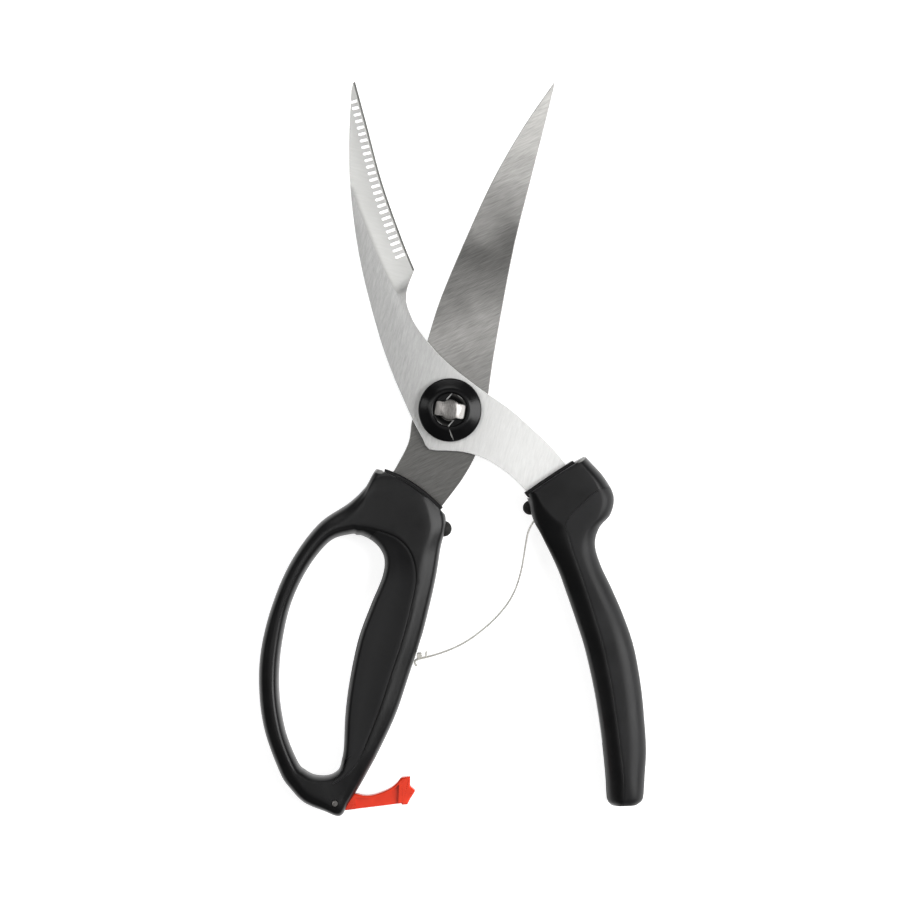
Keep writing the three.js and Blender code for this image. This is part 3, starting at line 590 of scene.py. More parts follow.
def micro_bevel_tool(edge, grind, face):
    """The narrow steeper facet right at the cutting edge."""
    rings = []
    for e, g in zip(edge, grind):
        width = math.dist(e, g)
        inner = mix_point(e, g, MICRO_BEVEL / width)
        outer = mix_point(e, g, -MICRO_BEVEL / width)
        level = face - BEVEL_DEPTH + BEVEL_DEPTH * MICRO_BEVEL / width
        rings.append([(*inner, level), (*outer, level - MICRO_DROP), (*outer, face + 1), (*inner, face + 1)])
    return loft("micro_bevel", rings)


def groove_axes(edge, grind, face):
    """Where each groove runs: at even distances along the edge, square to it and up the bevel."""
    axes = []
    for i in range(SERRATION_COUNT):
        share = i / (SERRATION_COUNT - 1)
        place = mix(FIRST_SERRATION, LAST_SERRATION, share)
        e = stretch(edge, place, place, 1)[0]
        ahead = stretch(edge, place + 0.5, place + 0.5, 1)[0]
        away = ((ahead[1] - e[1]) / 0.5, (e[0] - ahead[0]) / 0.5)
        rise = BEVEL_DEPTH / min(math.dist(e, g) for g in grind)
        lowest = face - BEVEL_DEPTH + SERRATION_LIFT
        length = mix(LENGTH_AT_TIP, LENGTH_AT_HEEL, share) - SERRATION_RADIUS
        axes.append([Vector((e[0] + away[0] * reach, e[1] + away[1] * reach, lowest + rise * reach))
                     for reach in (SERRATION_START, length)])
    return axes


def keyhole(low, high, easing=0.0):
    """The round hole with two notches that lets the stud's ears through."""
    reach, half = EAR_SPAN / 2 + GAP + easing, EAR_WIDTH / 2 + GAP + easing
    slot = [(-reach, -half), (reach, -half), (reach, half), (-reach, half)]
    slot = [turned(p, KEYHOLE_ANGLE) for p in rounded_corners(slot, 0.8)]
    hole = plate("keyhole", circle((0, 0), HOLE_RADIUS, 64), low, high)
    return join(hole, plate("notches", slot, low + 0.0003, high - 0.0003))


def pin_hole(centre, radius):
    return plate("pin_hole", circle(centre, radius, 32), MID_Z - 20, MID_Z + 20)


def pin_holes(pins):
    return [pin_hole(pin, PIN_RADIUS + 0.05) for pin in pins]


def inside_groove(piece, face, axes):
    """Whether all corners of a facet lie on one groove's round wall."""
    corners = [piece.data.vertices[i].co / MM for i in face.vertices]
    for start, end in axes:
        near = [intersect_point_line(c, start, end) for c in corners]
        if all((c - end if t > 1 else c - p).length < SERRATION_RADIUS + 0.03
               for c, (p, t) in zip(corners, near)):
            return True
    return False


def is_cutting_facet(face, edge):
    """Whether a facet lies close to the edge and leans out from it."""
    across = Vector((edge[0][1] - edge[-1][1], edge[-1][0] - edge[0][0], 0)).normalized()
    centre = face.center / MM
    close = min(math.dist(centre[:2], point) for point in edge) < EDGE_ZONE
    return close and face.normal.dot(across) > 0.3


def paint_facets(piece, edge=None, axes=()):
    """Materials by facet, chosen by how each facet tilts so that light and shade are painted in: 0 flat, 1
    ground bevel, 2 cutting facet (painted shade), 3 side wall (painted shade), 4 groove or chamfer (painted
    highlight).
    """
    for face in piece.data.polygons:
        tilt = abs(face.normal.z)
        if inside_groove(piece, face, axes):
            kind = 4
        elif tilt < 0.35:
            kind = 3
        elif edge and tilt < 0.93 and is_cutting_facet(face, edge):
            kind = 2
        elif tilt < 0.95:
            kind = 4
        else:
            kind = 1 if tilt < 0.9999 else 0
        face.material_index = kind


def serrated_blade():
    notch = [(-12.5, 49.2), (-15.3, 41), (-14, 34), (-10.2, 27), (-2.3, 17.9), (9.4, 8.3),
             (21.6, -0.2), (35, -12.5), (40.3, -18.9)]
    belly = [(27.5, -29.3), (21.1, -22.9), (12.6, -17.3), (4.6, -14.7), (-5, -14.2)]
    corner = [(-7.2, -13.9), (-8.6, -12.4), (-9.5, -10.1)]
    back = [(-13.3, -3.1), (-19.9, 12), (-25, 26.5), (-31.2, 50.7), (-34.5, 73), (-35.4, 92),
            (-34.6, 112)]
    outline = through(SERRATED_EDGE, 14)[:-1] + through(notch, 12) + SERRATED_TANG
    outline += through(belly, 10) + corner + through(back, 14) + [(-34, 114.6)]
    blade = plate("serrated_blade_visual", outline, SERRATED_LOW, SERRATED_TOP, 0.12)
    run_out_edge = through(SERRATED_EDGE + [(-9.2, 45.8), (-5.8, 41.4)], 14)
    run_out_grind = through(SERRATED_GRIND + [(-16.9, 39.9), (-13.5, 35.5)], 14)
    edge, grind = through(SERRATED_EDGE, 14), through(SERRATED_GRIND, 14)
    cut(blade, bevel_tool(run_out_edge, run_out_grind, SERRATED_TOP, 1))
    cut(blade, micro_bevel_tool(edge, grind, SERRATED_TOP))
    axes = groove_axes(edge, grind, SERRATED_TOP)
    cut(blade, *[bar("groove", *ends, SERRATION_RADIUS, 20, dome=True) for ends in axes])
    cut(blade, keyhole(SERRATED_LOW - 1, SERRATED_TOP + 1), *pin_holes(STRAIGHT_PINS))
    piece = finished(main_body(blade), "straight_half", "ground_steel",
                     [BLADE_STEEL, BEVEL_STEEL, EDGE_SHADE_STEEL, SIDE_SHADE_STEEL, PAINTED_HIGHLIGHT_STEEL], "serrated_blade")
    paint_facets(piece, edge, axes)


def knife_blade():
    heel = [(-7.8, 24.8), (-10.6, 12), (-13.3, -3.1), (-14.6, -11.4), (-18.6, -19.4), (-19.9, -21.5)]
    right = [(-3.1, -34), (0, -30), (4.6, -23.7), (8.9, -15.8), (12, -6), (13.5, 5.9)]
    spine = [(13.5, 5.9), (15.2, 18), (19.1, 40), (23.1, 60), (28.1, 80), (33.1, 99.7), (36.3, 112.6)]
    outline = through(KNIFE_EDGE, 14)[:-1] + through(heel, 10) + KNIFE_TANG
    outline += through(right, 10)[:-1] + through(spine, 10)
    blade = plate("knife_blade_visual", outline, KNIFE_LOW, KNIFE_TOP, 0.22, 0.1)
    cut(blade, bevel_tool(through(KNIFE_EDGE, 14), through(KNIFE_GRIND, 14), KNIFE_LOW, -1),
        plate("hole", circle((0, 0), HOLE_RADIUS, 64), KNIFE_LOW - 1, KNIFE_TOP + 1),
        *pin_holes(LOOP_PINS))
    # The knife's chamfers get the bevel's steel: painted highlight lines along its edges.
    piece = finished(main_body(blade), "loop_half", "knife_steel",
                     [KNIFE_STEEL, BEVEL_STEEL, EDGE_SHADE_STEEL, SIDE_SHADE_STEEL, BEVEL_STEEL], "knife_blade")
    paint_facets(piece)


# ---------- pivot ----------

def pivot_stud():
    shank, head = 3.55, 6.5
    ears_low = STUD_TOP - 2.1
    profile = [(0, STUD_BACK), (head - 0.6, STUD_BACK), (head - 0.2, STUD_BACK + 0.15),
               (head, STUD_BACK + 0.5), (head, 1.45), (head - 0.15, 1.6), (shank, 1.6)]
    profile += [(shank, STUD_TOP - 0.4), (shank - 0.1, STUD_TOP - 0.22), (shank - 0.4, STUD_TOP - 0.12),
                (shank - 1.6, STUD_TOP - 0.03), (0, STUD_TOP)]
    stud = lathe("pivot_stud_visual", profile)
    reach, half = EAR_SPAN / 2, EAR_WIDTH / 2
    ears = rounded_corners([(-reach, -half), (reach, -half), (reach, half), (-reach, half)], 1.2)
    ears = plate("ears", [turned(p, EAR_ANGLE) for p in ears], ears_low, STUD_TOP - 0.15, 0.3, 0.1)
    finished(join(stud, ears), "loop_half", "stud_steel", STUD_STEEL, "pivot_stud")


def pivot_ring():
    outer, well, floor = 11.1, 6.0, RING_LOW + 1.3
    shoulder = arc((outer - 1.1, RING_TOP - 2.2), 1.1, 0, 68, 8)
    crown = [(8.7, RING_TOP - 0.72), (7.8, RING_TOP - 0.3), (7.1, RING_TOP - 0.06)]
    lip = arc((well + 0.5, RING_TOP - 0.5), 0.5, 90, 180, 6)
    profile = [(HOLE_RADIUS - 0.3, RING_LOW), (outer - 0.2, RING_LOW), (outer, RING_LOW + 0.2),
               *shoulder, *crown, *lip, (well, floor + 0.2), (well - 0.2, floor), (HOLE_RADIUS - 0.3, floor)]
    ring = lathe("pivot_ring_visual", profile, 144)
    mark = [(-0.1, -7.1, RING_TOP - 0.02), (1.1, -10.2, RING_TOP - 1.2)]
    cut(ring, keyhole(RING_LOW - 1, floor + 0.05, 0.4), bar("mark", *mark, 0.28, 12))
    finished(ring, "straight_half", "ring_plastic", RING_BLACK, "pivot_ring")


# ---------- handle surfaces ----------

def rounded(t):
    return math.sqrt(1 - (1 - min(max(t, 0), 1)) ** 2)


def fine_distances(width, first, seam, last):
    """Where a cross-section is sampled: close together at its two rounded ends and at its seam."""
    ends = [first * (1 - math.cos(math.pi / 2 * k / 8)) for k in range(8)]
    far = [width - last * (1 - math.cos(math.pi / 2 * k / 10)) for k in range(10, -1, -1)]
    seam = min(max(seam, first + 0.4), width - last - 0.4)
    before = [mix(first, seam, t) for t in (0, 0.3, 0.55, 0.75, 0.87, 0.94, 0.98)]
    after = [mix(seam, width - last, t) for t in (0, 0.02, 0.06, 0.13, 0.25, 0.45, 0.7)]
    return ends + before + after + far


def section(start, end, distances, half_thickness, skin, skin_side):
    """One closed cross-section of a handle, from an inner to an outer point."""
    width = math.dist(start, end)
    low = skin if skin_side == "inner" else -2.0 * (skin > 0)
    high = width + (-skin if skin_side == "outer" else 2.0 * (skin > 0))
    front = []
    for d in distances:
        place = mix(low, high, d / width)
        inside = min(max(place, 0), width)
        height = max(half_thickness(inside) - skin, 0.6)
        front.append((*mix_point(start, end, place / width), height))
    return ([(x, y, MID_Z + h) for x, y, h in front]
            + [(x, y, MID_Z - h) for x, y, h in reversed(front)])


# Each row: a point of the finger hole, a point of the rim, the half thickness less the full one,
# the distance from the hole to the cheek's crease, the depth of the cheek and the rim's rounding.
LOOP_ROWS = [
    (-34.7, -43.5, -35.5, -32.6, 0, 2.7, 1.5, 5),
    (-42.1, -46, -46, -39.9, -0.2, 2.4, 0.6, 4),
    (-49.9, -55.5, -55.5, -52.7, -0.6, 2.2, 0.1, 3.8),
    (-56, -68.5, -62.2, -68, -0.9, 2.2, 0, 3.8),
    (-59.3, -84.1, -66.2, -84, -1, 2.4, 0, 4.2),
    (-59.9, -98.8, -66.8, -98.5, -1, 2.4, 0, 4.2),
    (-57.7, -112.7, -64.8, -112.5, -1, 2.4, 0, 4.2),
    (-53.4, -123.5, -59.5, -127, -1, 2.4, 0, 4.2),
    (-50.8, -126.2, -55.7, -132.7, -1, 2.4, 0, 4.2),
    (-48.2, -127.7, -51, -137.4, -1, 2.6, 0, 4.2),
    (-45.5, -128.2, -44.2, -140.3, -1, 2.6, 0, 4.2),
    (-42.9, -128.1, -38.5, -142.1, -1.2, 2.8, 0, 4),
    (-40.7, -127.3, -35.4, -137.6, -1.2, 2.8, 0, 4),
    (-38.9, -125.7, -31.9, -132.1, -0.9, 3, 0.3, 4),
    (-37.9, -122.4, -28.2, -125.5, -0.6, 5.1, 0.75, 4.3),
    (-37.2, -118, -24.2, -118, -0.3, 7.2, 1.2, 4.6),
    (-36.6, -106, -18.7, -106, 0, 11.4, 2.5, 5.6),
    (-35, -94, -14.4, -93.2, 0, 14, 3.2, 6.2),
    (-32, -80, -10.1, -80, 0, 15.4, 3.5, 6.2),
    (-27.8, -68.5, -7.1, -68.3, 0, 14.2, 3.5, 6.2),
    (-23.8, -58.8, -5, -58.8, 0, 11.9, 3.3, 6.2),
    (-22.9, -53, -3.4, -48.8, 0, 9.8, 3, 6.2),
    (-24.2, -49, -1.6, -37.3, 0, 7.6, 2.5, 6.2),
    (-27, -46, -8, -24, 0, 4.6, 2, 5.6),
    (-30.5, -44.1, -23.2, -19, 0, 3.1, 1.8, 5.6),
    (-32.6, -43.8, -29.8, -27.2, 0, 2.9, 1.6, 5.6),
]
# Each row: a point of the inner edge, a point of the outer edge, the half thickness less the full
# one, the width of the sloping inner flank and the outer edge's rounding.
STRAIGHT_ROWS = [
    (25.2, -26.6, 44.2, -12.8, 0, 3, 3.5),
    (27.3, -31.5, 49.2, -18.2, 0, 3.5, 3.5),
    (28.4, -36, 54, -23.6, 0, 5, 4),
    (29.8, -39.8, 57.3, -30, 0, 7, 5),
    (31.6, -43, 56.3, -36.3, 0, 8.8, 5.5),
    (33.6, -47, 52.3, -41.2, 0, 8.2, 5.5),
    (35.6, -51, 50.8, -47, 0, 7.4, 5.5),
    (38.3, -57, 52.6, -53.9, 0, 6.9, 5.5),
    (41, -64.5, 56.5, -62.2, 0, 6.8, 6),
    (44.2, -73.8, 60.6, -71.7, 0, 6.6, 6),
    (47.2, -83.3, 64.3, -82.6, 0, 6.4, 6.5),
    (50.1, -95.7, 66.8, -96, 0, 6.2, 6.5),
    (52, -106.5, 68, -107.5, 0, 6, 6.5),
    (53.5, -117.5, 68.7, -119, 0, 6, 6.5),
    (54.6, -128.6, 68.2, -128.5, 0, 6, 6),
    (54.95, -134.8, 67.8, -134.6, -0.4, 5.6, 5),
    (55.35, -137.1, 67.2, -136.7, -1, 4.8, 4.4),
    (56.8, -138.4, 65.5, -138.1, -2.2, 3, 3),
]
FINE_STEPS = 10
SEAM_WIDTH = 0.35
SEAM_DEPTH = 0.3
HOLE_ROUND = 2.2
RIM_ROUND = 2.2
# The half thickness that is left at the loop's two edges and at the straight handle's outer edge.
LOOP_FOOT = 1.8
STRAIGHT_FOOT = 1.6
FLANK_DROP = 4.4
INNER_ROUND = 1.4


def seam_dip(distance):
    return SEAM_DEPTH * math.exp(-(distance / SEAM_WIDTH) ** 2)


def loop_stations():
    return through(LOOP_ROWS, FINE_STEPS, closed=True)


def shouldered(distance, half, shoulder):
    """The half thickness near an outer edge: a gentle shoulder first, then a tight round."""
    drop = 1.7 * min(shoulder / 5.3, 1)
    if distance < RIM_ROUND:
        return mix(LOOP_FOOT, half - drop, rounded(distance / RIM_ROUND))
    t = min(max((RIM_ROUND + shoulder - distance) / max(shoulder, 0.01), 0), 1)
    return half - drop * t ** 2.3


def loop_surface(name, skin):
    rings = []
    for hx, hy, rx, ry, less, cheek, dish, rim in loop_stations():
        width = math.dist((hx, hy), (rx, ry))
        half = HANDLE_HALF + less
        shoulder = (rim - RIM_ROUND) * 1.4

        def half_thickness(d):
            wall = min(shouldered(width - d, half, shoulder),
                       mix(LOOP_FOOT, half, rounded(d / HOLE_ROUND)))
            hollow = dish * math.sin(math.pi / 2 * (1 - d / cheek)) if d < cheek else 0
            dip = seam_dip(d - cheek) * min(dish / 1.5, 1)
            return wall - min(hollow, wall - 1.2) - dip

        distances = fine_distances(width, HOLE_ROUND, cheek, rim)
        rings.append(section((hx, hy), (rx, ry), distances, half_thickness, skin, "inner"))
    return loft(name, rings, looped=True)


def straight_surface(name, skin):
    rings = []
    for i, (ix, iy, ox, oy, less, flank, outer) in enumerate(through(STRAIGHT_ROWS, FINE_STEPS)):
        width = math.dist((ix, iy), (ox, oy))
        half = HANDLE_HALF + less
        groove = min(max(i / FINE_STEPS - 4, 0), 1) * 0.4

        def half_thickness(d):
            slope = min(d / flank, 1)
            inner_side = mix(half - FLANK_DROP, half, 1 - (1 - slope) ** 1.7)
            edge = mix(0.75, 1, rounded(d / INNER_ROUND))
            outer_side = mix(STRAIGHT_FOOT, half, rounded((width - d) / outer))
            return min(inner_side * edge, outer_side) - seam_dip(d - flank) * groove

        distances = fine_distances(width, INNER_ROUND, flank, outer)
        rings.append(section((ix, iy), (ox, oy), distances, half_thickness, skin, "outer"))
    return loft(name, rings)


def shell_and_grip(surface, patch, names):
    """A handle in two pieces: a hard shell, and a grip skin set into it inside a patch outline."""
    low, high = MID_Z - 2 * HANDLE_HALF, MID_Z + 2 * HANDLE_HALF
    shell, grip = [surface(name, 0) for name in names]
    combine(grip, [plate("patch", patch, low, high)], "INTERSECT")
    cut(grip, surface("inside", GRIP_SKIN))
    recess = plate("recess", grown(patch, SEAM), low, high)
    cut(recess, surface("inside", GRIP_SKIN + GAP))
    return cut(shell, recess), grip


# ---------- collars, cores and slots ----------

LOOP_COLLAR = [(-1, -37.6), (-13, -23.5), (-27, -20.8)]
STRAIGHT_COLLAR = [(25.4, -30.9), (36.3, -22.9), (47.5, -16.4)]
COLLAR_PROUD = 1.2
LAND_PROUD = 0.4
LOOP_LAND = 0.88
STRAIGHT_LAND = 0.85
COLLAR_ROUND = 1.0


def collar_line(control, start, end, proud, count=24):
    """Points of a collar's curve between two shares of it, moved towards the pivot."""
    a, b, c = control
    out = []
    for i in range(count + 1):
        t = mix(start, end, i / count)
        x, y = mix_point(mix_point(a, b, t), mix_point(b, c, t), t)
        tx, ty = (mix(b[0] - a[0], c[0] - b[0], t), mix(b[1] - a[1], c[1] - b[1], t))
        length = math.hypot(tx, ty)
        side = math.copysign(1, -ty * x + tx * y)
        out.append((x + side * ty / length * proud, y - side * tx / length * proud))
    return out


def beyond(point, inner, reach):
    return mix_point(point, inner, -reach / math.dist(point, inner))


def collar_tool(control, reach, land):
    """Everything on the blade side of a collar, with the collar's front and back edges rounded."""
    line = collar_line(control, 0, land - 0.012, 0)
    raised = collar_line(control, land + 0.012, 0.97, LAND_PROUD, 6)
    tail = [beyond(raised[-1], raised[-2], 0.7), beyond(raised[-1], raised[-2], 1.6)]
    tail = [(x - reach[0] * drop, y - reach[1] * drop) for (x, y), drop in zip(tail, (0.02, 0.12))]
    line = [beyond(line[0], line[1], 3), *line, *raised, *tail]
    corners = [(line[k][0] + reach[0], line[k][1] + reach[1]) for k in (-1, 0)]
    outline = line + corners
    soften = [1 + max(i / len(line) - 0.8, 0) * 6 if i < len(line) else 1 for i in range(len(outline))]
    steps = [(COLLAR_ROUND * (1 - math.cos(a)), HANDLE_HALF - COLLAR_ROUND * (1 - math.sin(a)))
             for a in (math.pi / 2 * k / 6 for k in range(7))]
    steps.append((COLLAR_ROUND + 1, HANDLE_HALF + 1))
    levels_up = [(margin, MID_Z + height) for margin, height in steps]
    levels_down = [(margin, MID_Z - height) for margin, height in reversed(steps)]
    rings = []
    for margin, z in levels_down + levels_up:
        wide = grown(outline, margin)
        rings.append([(*mix_point(a, b, k), z) for a, b, k in zip(outline, wide, soften)])
    return loft("collar", rings)


LOOP_CORE = collar_line(LOOP_COLLAR, 0.1, 0.86, COLLAR_PROUD) + [
    (-23.6, -26), (-21.6, -40), (-18.6, -52), (-9.3, -52), (-9.3, -41.6), (-6.6, -37.6), (-4.4, -36.6),
    (-4, -35.5)]
STRAIGHT_CORE = collar_line(STRAIGHT_COLLAR, 0.06, 0.82, COLLAR_PROUD) + [
    (47.6, -22), (48, -30), (47.8, -48), (40.2, -48), (35.2, -34.6), (32.4, -31.4), (29.2, -30.6),
    (27.3, -30.6)]
KNIFE_NECK = [(-13.6, -6.1), (-14.6, -11.4), (-18.6, -19.4), (-19.9, -21.5), *KNIFE_TANG,
              (-3.1, -34), (0, -30), (4.6, -23.7)]
SERRATED_NECK = [(21.1, -22.9), (27.3, -29.5), *reversed(SERRATED_TANG), (40.3, -18.9), (35, -12.5)]


def tang_slot(outline, blade):
    low, high = levels(blade)
    return plate("tang_slot", grown(outline, GAP), low - GAP, high + GAP)


def cavity(outline):
    return plate("cavity", grown(outline, GAP), CORE_LOW - GAP, CORE_TOP + GAP)


def handle_core(half, outline, neck, blade, pins):
    core = plate(f"{half}_core_visual", outline, CORE_LOW, CORE_TOP, 0.35)
    cut(core, tang_slot(neck, blade), *pin_holes(pins))
    finished(main_body(core), f"{half}_half", "hard_plastic", HARD_BLACK, f"{half}_core")


def steel_pin(node, spot, radius, body):
    """A straight pin with its two ends slightly crowned."""
    low, high = levels(node)
    profile = [(0, low), (radius - 0.2, low), (radius, low + 0.2), (radius, high - 0.2),
               (radius - 0.2, high - 0.05), (0, high)]
    place = Matrix.Translation(Vector((*spot, 0)) * MM)
    finished(lathe(f"{node}_visual", profile, 48, place), body, "stud_steel", STUD_STEEL, node)


def tang_pins():
    for half, pins in (("loop", LOOP_PINS), ("straight", STRAIGHT_PINS)):
        for i, spot in enumerate(pins, 1):
            steel_pin(f"{half}_tang_pin_{i}", spot, PIN_RADIUS, f"{half}_half")


# ---------- bump stops ----------

LOOP_BUMPER = ((-2.6, -41.6), (1, 0.02), 2.8)
STRAIGHT_BUMPER = ((28.4, -34.1), (-0.945, -0.326), 2.5)
STEM_RADIUS = 1.3
STEM_LENGTH = 3.2


def bumper_point(place, reach):
    (x, y), (dx, dy), _ = place
    return x + dx * reach, y + dy * reach, MID_Z


def bumper_seat(place):
    wide = bar("seat", bumper_point(place, -GAP), bumper_point(place, 8), place[2] + GAP, 48)
    stem = bar("stem", bumper_point(place, -STEM_LENGTH - GAP), bumper_point(place, 0), STEM_RADIUS + GAP)
    return join(wide, stem)


def bumper(half, place):
    radius, rim = place[2], 0.4
    dome = arc((0, rim), radius, 0, 90, 14)
    profile = [(0, -STEM_LENGTH), (STEM_RADIUS, -STEM_LENGTH), (STEM_RADIUS, -0.01), (radius - 0.15, 0),
               (radius, 0.15), *dome[:-1], (0, rim + radius)]
    turn = Vector((0, 0, 1)).rotation_difference(Vector((*place[1], 0))).to_matrix().to_4x4()
    spot = Matrix.Translation(Vector(bumper_point(place, 0)) * MM) @ turn
    button = lathe(f"{half}_bumper_visual", profile, 64, spot)
    finished(button, f"{half}_half", "bumper_rubber", RUBBER, f"{half}_bumper")


# ---------- handles ----------

LATCH_PIN = (-40.1, -137.3)
LATCH_PIN_RADIUS = 1.2
WEB_DEPTH = 1.3
LATCH_PLAY = 0.5
CLOSED_ANGLE = 35


def latch_slot():
    outline = arc(LATCH_PIN, 3.5, 270, 95, 24) + [(-34, -131.4), (-26, -128), (-26, -141.4), (-36.5, -140.8)]
    return plate("latch_slot", outline, LATCH_LOW - LATCH_PLAY, LATCH_TOP + LATCH_PLAY)


def latch_pocket():
    """The pocket that takes the latch when the shears are closed."""
    pin = turned(LATCH_PIN, CLOSED_ANGLE)
    outline = arc((0, 0), 128.3, -70, -64.85, 8) + [(53.5, -108.2)] + arc(pin, 28.7, 74.6, 40.5, 16)
    outline += [(67.5, -122.6), (65.5, -124.3), (61.5, -127.8), (57.4, -131.4), (56, -134), (56, -142),
                (44, -138)]
    return plate("latch_pocket", outline, LATCH_LOW - LATCH_PLAY, LATCH_TOP + LATCH_PLAY)


def slider_groove():
    outline = [(-5, -80), (-5, -122), (-28.6, -121), (-21.4, -106), (-17.2, -95), (-13.8, -84.5), (-12, -79)]
    return plate("slider_groove", outline, STRIP_LOW - 0.7, STRIP_TOP + 0.7)


def loop_handle():
    """The patch follows the crease from the bottom of the finger hole, up and over its top."""
    stations = loop_stations()
    first, last = int(11.4 * FINE_STEPS), int(23.3 * FINE_STEPS)
    crease = []
    for i in range(first, last, 2):
        hx, hy, rx, ry, _, cheek, _, _ = stations[i % len(stations)]
        crease.append(mix_point((hx, hy), (rx, ry), cheek / math.dist((hx, hy), (rx, ry))))
    patch = through([(-41.5, -124.2), (-38.6, -123.6), (-34.6, -120.6), crease[0]], 6)[:-1]
    patch += crease + [(-48, -60), (-48, -110)]
    shell, grip = shell_and_grip(loop_surface, patch, ("loop_handle_visual", "loop_finger_liner_visual"))
    cut(shell, collar_tool(LOOP_COLLAR, (12, 22), LOOP_LAND), cavity(LOOP_CORE),
        tang_slot(KNIFE_NECK, "knife_blade"), pin_hole(LATCH_PIN, LATCH_PIN_RADIUS + 0.08),
        latch_slot(), slider_groove(), bumper_seat(LOOP_BUMPER))
    cut(grip, cavity(LOOP_CORE))
    finished(main_body(shell), "loop_half", "hard_plastic", HARD_BLACK, "loop_handle")
    finished(main_body(grip), "loop_half", "soft_plastic", SOFT_BLACK, "loop_finger_liner")


def straight_handle():
    crease = []
    for ix, iy, ox, oy, _, flank, _ in through(STRAIGHT_ROWS, 5)[10:]:
        crease.append(mix_point((ix, iy), (ox, oy), flank / math.dist((ix, iy), (ox, oy))))
    below = [p for p in crease if p[1] < -42]
    top = [(58.5, -27), (54.5, -27.2), (50.4, -28.9), (45.6, -33.2), (42, -36.8), (40.3, -40.4), below[0]]
    patch = through(top, 8)[:-1] + below + [(61.6, -141), (78, -141), (78, -27)]
    shell, grip = shell_and_grip(straight_surface, patch,
                                 ("straight_handle_visual", "straight_grip_panel_visual"))
    root = ribbon([(33.1, -34.3), (30.5, -37.3), (27.4, -41.3)], 1.6)
    cut(shell, collar_tool(STRAIGHT_COLLAR, (-12, 16), STRAIGHT_LAND), cavity(STRAIGHT_CORE),
        tang_slot(SERRATED_NECK, "serrated_blade"), latch_pocket(),
        plate("root_slot", root, STRIP_LOW - GAP, STRIP_TOP + GAP), bumper_seat(STRAIGHT_BUMPER))
    cut(grip, cavity(STRAIGHT_CORE), latch_pocket())
    finished(main_body(shell), "straight_half", "hard_plastic", HARD_BLACK, "straight_handle")
    finished(main_body(grip), "straight_half", "soft_plastic", SOFT_BLACK, "straight_grip_panel")


# ---------- spring ----------

STRIP_ROUTE = [(32.3, -35.2), (30.5, -37.3), (28.6, -40.2), (27.3, -43), (26.5, -47), (25.9, -51),
               (25.2, -55), (24.2, -59), (22.8, -63), (21, -66.5), (18.5, -70), (15, -73.8), (11, -77.3),
               (6.5, -80.6), (1.5, -83.3), (-4, -85.4), (-9, -86.8)]
STRIP_THICKNESS = 0.5
FIRST_BEND = 8.7
SECOND_BEND = 34.7
STRIP_SPLIT = 21.5


def ribbon(line, thickness):
    sides = []
    for sign in (1, -1):
        side = []
        for i, (x, y) in enumerate(line):
            a, b = line[max(i - 1, 0)], line[min(i + 1, len(line) - 1)]
            reach = sign * thickness / 2 / math.dist(a, b)
            side.append((x - (b[1] - a[1]) * reach, y + (b[0] - a[0]) * reach))
        sides.append(side)
    return sides[0] + sides[1][::-1]


def stretch(line, start, end, count):
    """Evenly spaced points of a line between two distances along it."""
    out = []
    for k in range(count + 1):
        left = mix(start, end, k / count)
        for a, b in zip(line, line[1:]):
            length = math.dist(a, b)
            if left <= length or b == line[-1]:
                out.append(mix_point(a, b, left / length))
                break
            left -= length
    return out


def strip_piece(name, line):
    """A strip of rounded-edge flat wire swept along a line in the plane."""
    edge = 0.12
    half = STRIP_THICKNESS / 2
    rings = []
    for i, (x, y) in enumerate(line):
        a, b = line[max(i - 1, 0)], line[min(i + 1, len(line) - 1)]
        nx, ny = -(b[1] - a[1]) / math.dist(a, b), (b[0] - a[0]) / math.dist(a, b)
        corners = [(half, STRIP_LOW + edge), (half - edge, STRIP_LOW), (edge - half, STRIP_LOW),
                   (-half, STRIP_LOW + edge), (-half, STRIP_TOP - edge), (edge - half, STRIP_TOP),
                   (half - edge, STRIP_TOP), (half, STRIP_TOP - edge)]
        rings.append([(x + nx * o, y + ny * o, z) for o, z in corners])
    return loft(name, rings)


def return_spring():
    line = through(STRIP_ROUTE, 8)
    total = sum(math.dist(a, b) for a, b in zip(line, line[1:]))

    def at(distance):
        return Vector((*stretch(line, distance, distance, 1)[0], MID_Z)) * MM

    root = strip_piece("return_spring_root_visual", stretch(line, 0.01, STRIP_SPLIT, 60))
    finished(root, None, "spring_steel", STRIP_STEEL, "spring_root", "spring_leaf")
    at(FIRST_BEND - 4)
    at(FIRST_BEND + 7)
    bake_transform(root)
    tip = strip_piece("return_spring_tip_visual", stretch(line, STRIP_SPLIT, total - 0.01, 120))
    hook = ribbon(through([(-8.4, -86.6), (-11.2, -87.3), (-12.4, -88.3), (-11.7, -89.7)], 8), 0.6)
    fold = rounded_corners([(-9.8, -86.7), (-10, -84.9), (-11.6, -85.2), (-11.6, -87.2)], 0.5)
    tab = ribbon([(-8.6, -86.7), (-8.3, -84.7)], 0.6)
    folds = [plate(f"fold_{i}", outline, STRIP_LOW + 0.003 * i, STRIP_TOP - 0.003 * i, 0.1)
             for i, outline in enumerate((hook, fold, tab), 1)]
    join(tip, *folds)
    finished(main_body(tip), None, "spring_steel", STRIP_STEEL, "spring_tip")
    at(SECOND_BEND - 11)
    at(SECOND_BEND + 11)
    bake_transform(tip)


# ---------- latch ----------

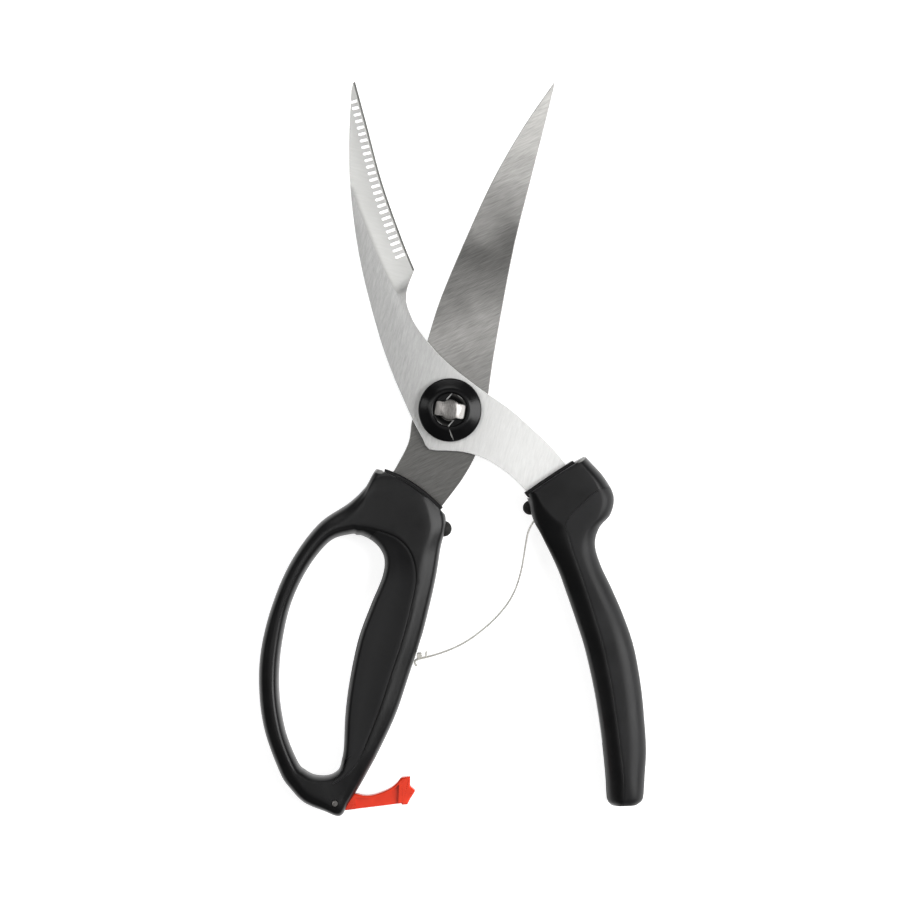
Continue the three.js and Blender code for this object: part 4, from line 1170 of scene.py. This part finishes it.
def latch_lever():
    top = through([(-38.9, -134.5), (-33, -134.4), (-30.2, -135), (-27.4, -134.9), (-24, -133.9),
                   (-20.8, -132.4), (-18.6, -130.6), (-17.2, -128.7)], 6)
    head = rounded_corners([(-17.2, -128.7), (-13.9, -128.3), (-14, -131.7), (-12.1, -133.3),
                            (-14, -136.2), (-14.9, -138.1), (-17, -138.2)], 0.5, 3)
    bottom = [(-22.8, -138.5), (-28.7, -139.2), (-36.2, -140.1)]
    heel = arc(LATCH_PIN, 3, 255, 100, 20)
    lever = plate("latch_lever_visual", top[:-1] + head + bottom + heel, LATCH_LOW, LATCH_TOP, 0.45)
    web = rounded_corners([(-33, -135.7), (-28, -136), (-24, -135), (-20.6, -133.5), (-17.8, -130.9),
                           (-18.2, -140), (-24, -141), (-33, -142)], 0.7, 3)
    for side in (1, -1):
        face = MID_Z + side * (LATCH_TOP - LATCH_LOW) / 2
        cut(lever, plate("web", web, face - WEB_DEPTH, face + WEB_DEPTH))
    cut(lever, pin_hole(LATCH_PIN, LATCH_PIN_RADIUS + 0.1))
    finished(lever, "latch", "latch_plastic", LATCH_RED, "latch_lever")
    steel_pin("latch_pin", LATCH_PIN, LATCH_PIN_RADIUS, "loop_half")


# ---------- studio ----------

def camera():
    """Straight above the shears, as far off as the product shot's perspective asks."""
    distance, field = 1.3, 0.315
    data = bpy.data.cameras.new("camera")
    data.sensor_width = 36
    data.lens = data.sensor_width * distance / field
    data.clip_end = 20
    eye = bpy.data.objects.new("camera", data)
    eye.location = (0, -0.014, distance + SERRATED_TOP * MM)
    bpy.context.scene.collection.objects.link(eye)
    bpy.context.scene.camera = eye


def area_light(name, place, size, power):
    """A soft box that faces the pivot."""
    data = bpy.data.lights.new(name, "AREA")
    data.shape = "RECTANGLE"
    data.size, data.size_y = size
    data.energy = power
    lamp = bpy.data.objects.new(name, data)
    lamp.location = place
    lamp.rotation_euler = (Vector() - Vector(place)).to_track_quat("-Z", "Y").to_euler()
    bpy.context.scene.collection.objects.link(lamp)


def studio():
    floor = mesh_object("floor", [(-3000, -3000, 0), (3000, -3000, 0), (3000, 3000, 0), (-3000, 3000, 0)],
                        [(0, 1, 2, 3)])
    floor.location.z = cad_box[0][2] - 0.0002
    shader = Shader("floor_white").set(Roughness=0.9, Specular_IOR_Level=0.1)
    cloud = shader.noise((6, 6, 6), 0, 2)
    shader.set(Base_Color=shader.colour(cloud, (0.5, 0.5, 0.5), (0.52, 0.52, 0.52)),
               Emission_Color=(1, 1, 1, 1), Emission_Strength=0.8)
    floor.data.materials.append(shader.material)
    world = bpy.data.worlds.new("studio")
    bpy.context.scene.world = world
    world.use_nodes = True
    nodes, links = world.node_tree.nodes, world.node_tree.links
    height = nodes.new("ShaderNodeSeparateXYZ")
    links.new(nodes.new("ShaderNodeTexCoord").outputs["Generated"], height.inputs["Vector"])
    ramp = nodes.new("ShaderNodeMapRange")
    ramp.interpolation_type = "SMOOTHSTEP"
    for name, number in (("From Min", 0.84), ("From Max", 0.98), ("To Min", 0.16), ("To Max", 0.66)):
        ramp.inputs[name].default_value = number
    links.new(height.outputs["Z"], ramp.inputs["Value"])
    links.new(ramp.outputs["Result"], nodes["Background"].inputs["Strength"])
    nodes["Background"].inputs["Color"].default_value = (1, 1, 1, 1)
    area_light("right_box", (1.1, 0, 0.95), (0.7, 1.6), 34)
    area_light("left_box", (-0.55, 0.15, 1.2), (0.25, 0.9), 3)
    area_light("top_box", (-0.1, 1.1, 0.9), (1.2, 0.4), 6)
    view = bpy.context.scene.view_settings
    view.view_transform = "Standard"
    view.look = "None"


camera()
studio()
serrated_blade()
knife_blade()
pivot_stud()
pivot_ring()
loop_handle()
straight_handle()
handle_core("loop", LOOP_CORE, KNIFE_NECK, "knife_blade", LOOP_PINS)
handle_core("straight", STRAIGHT_CORE, SERRATED_NECK, "serrated_blade", STRAIGHT_PINS)
tang_pins()
bumper("loop", LOOP_BUMPER)
bumper("straight", STRAIGHT_BUMPER)
return_spring()
latch_lever()
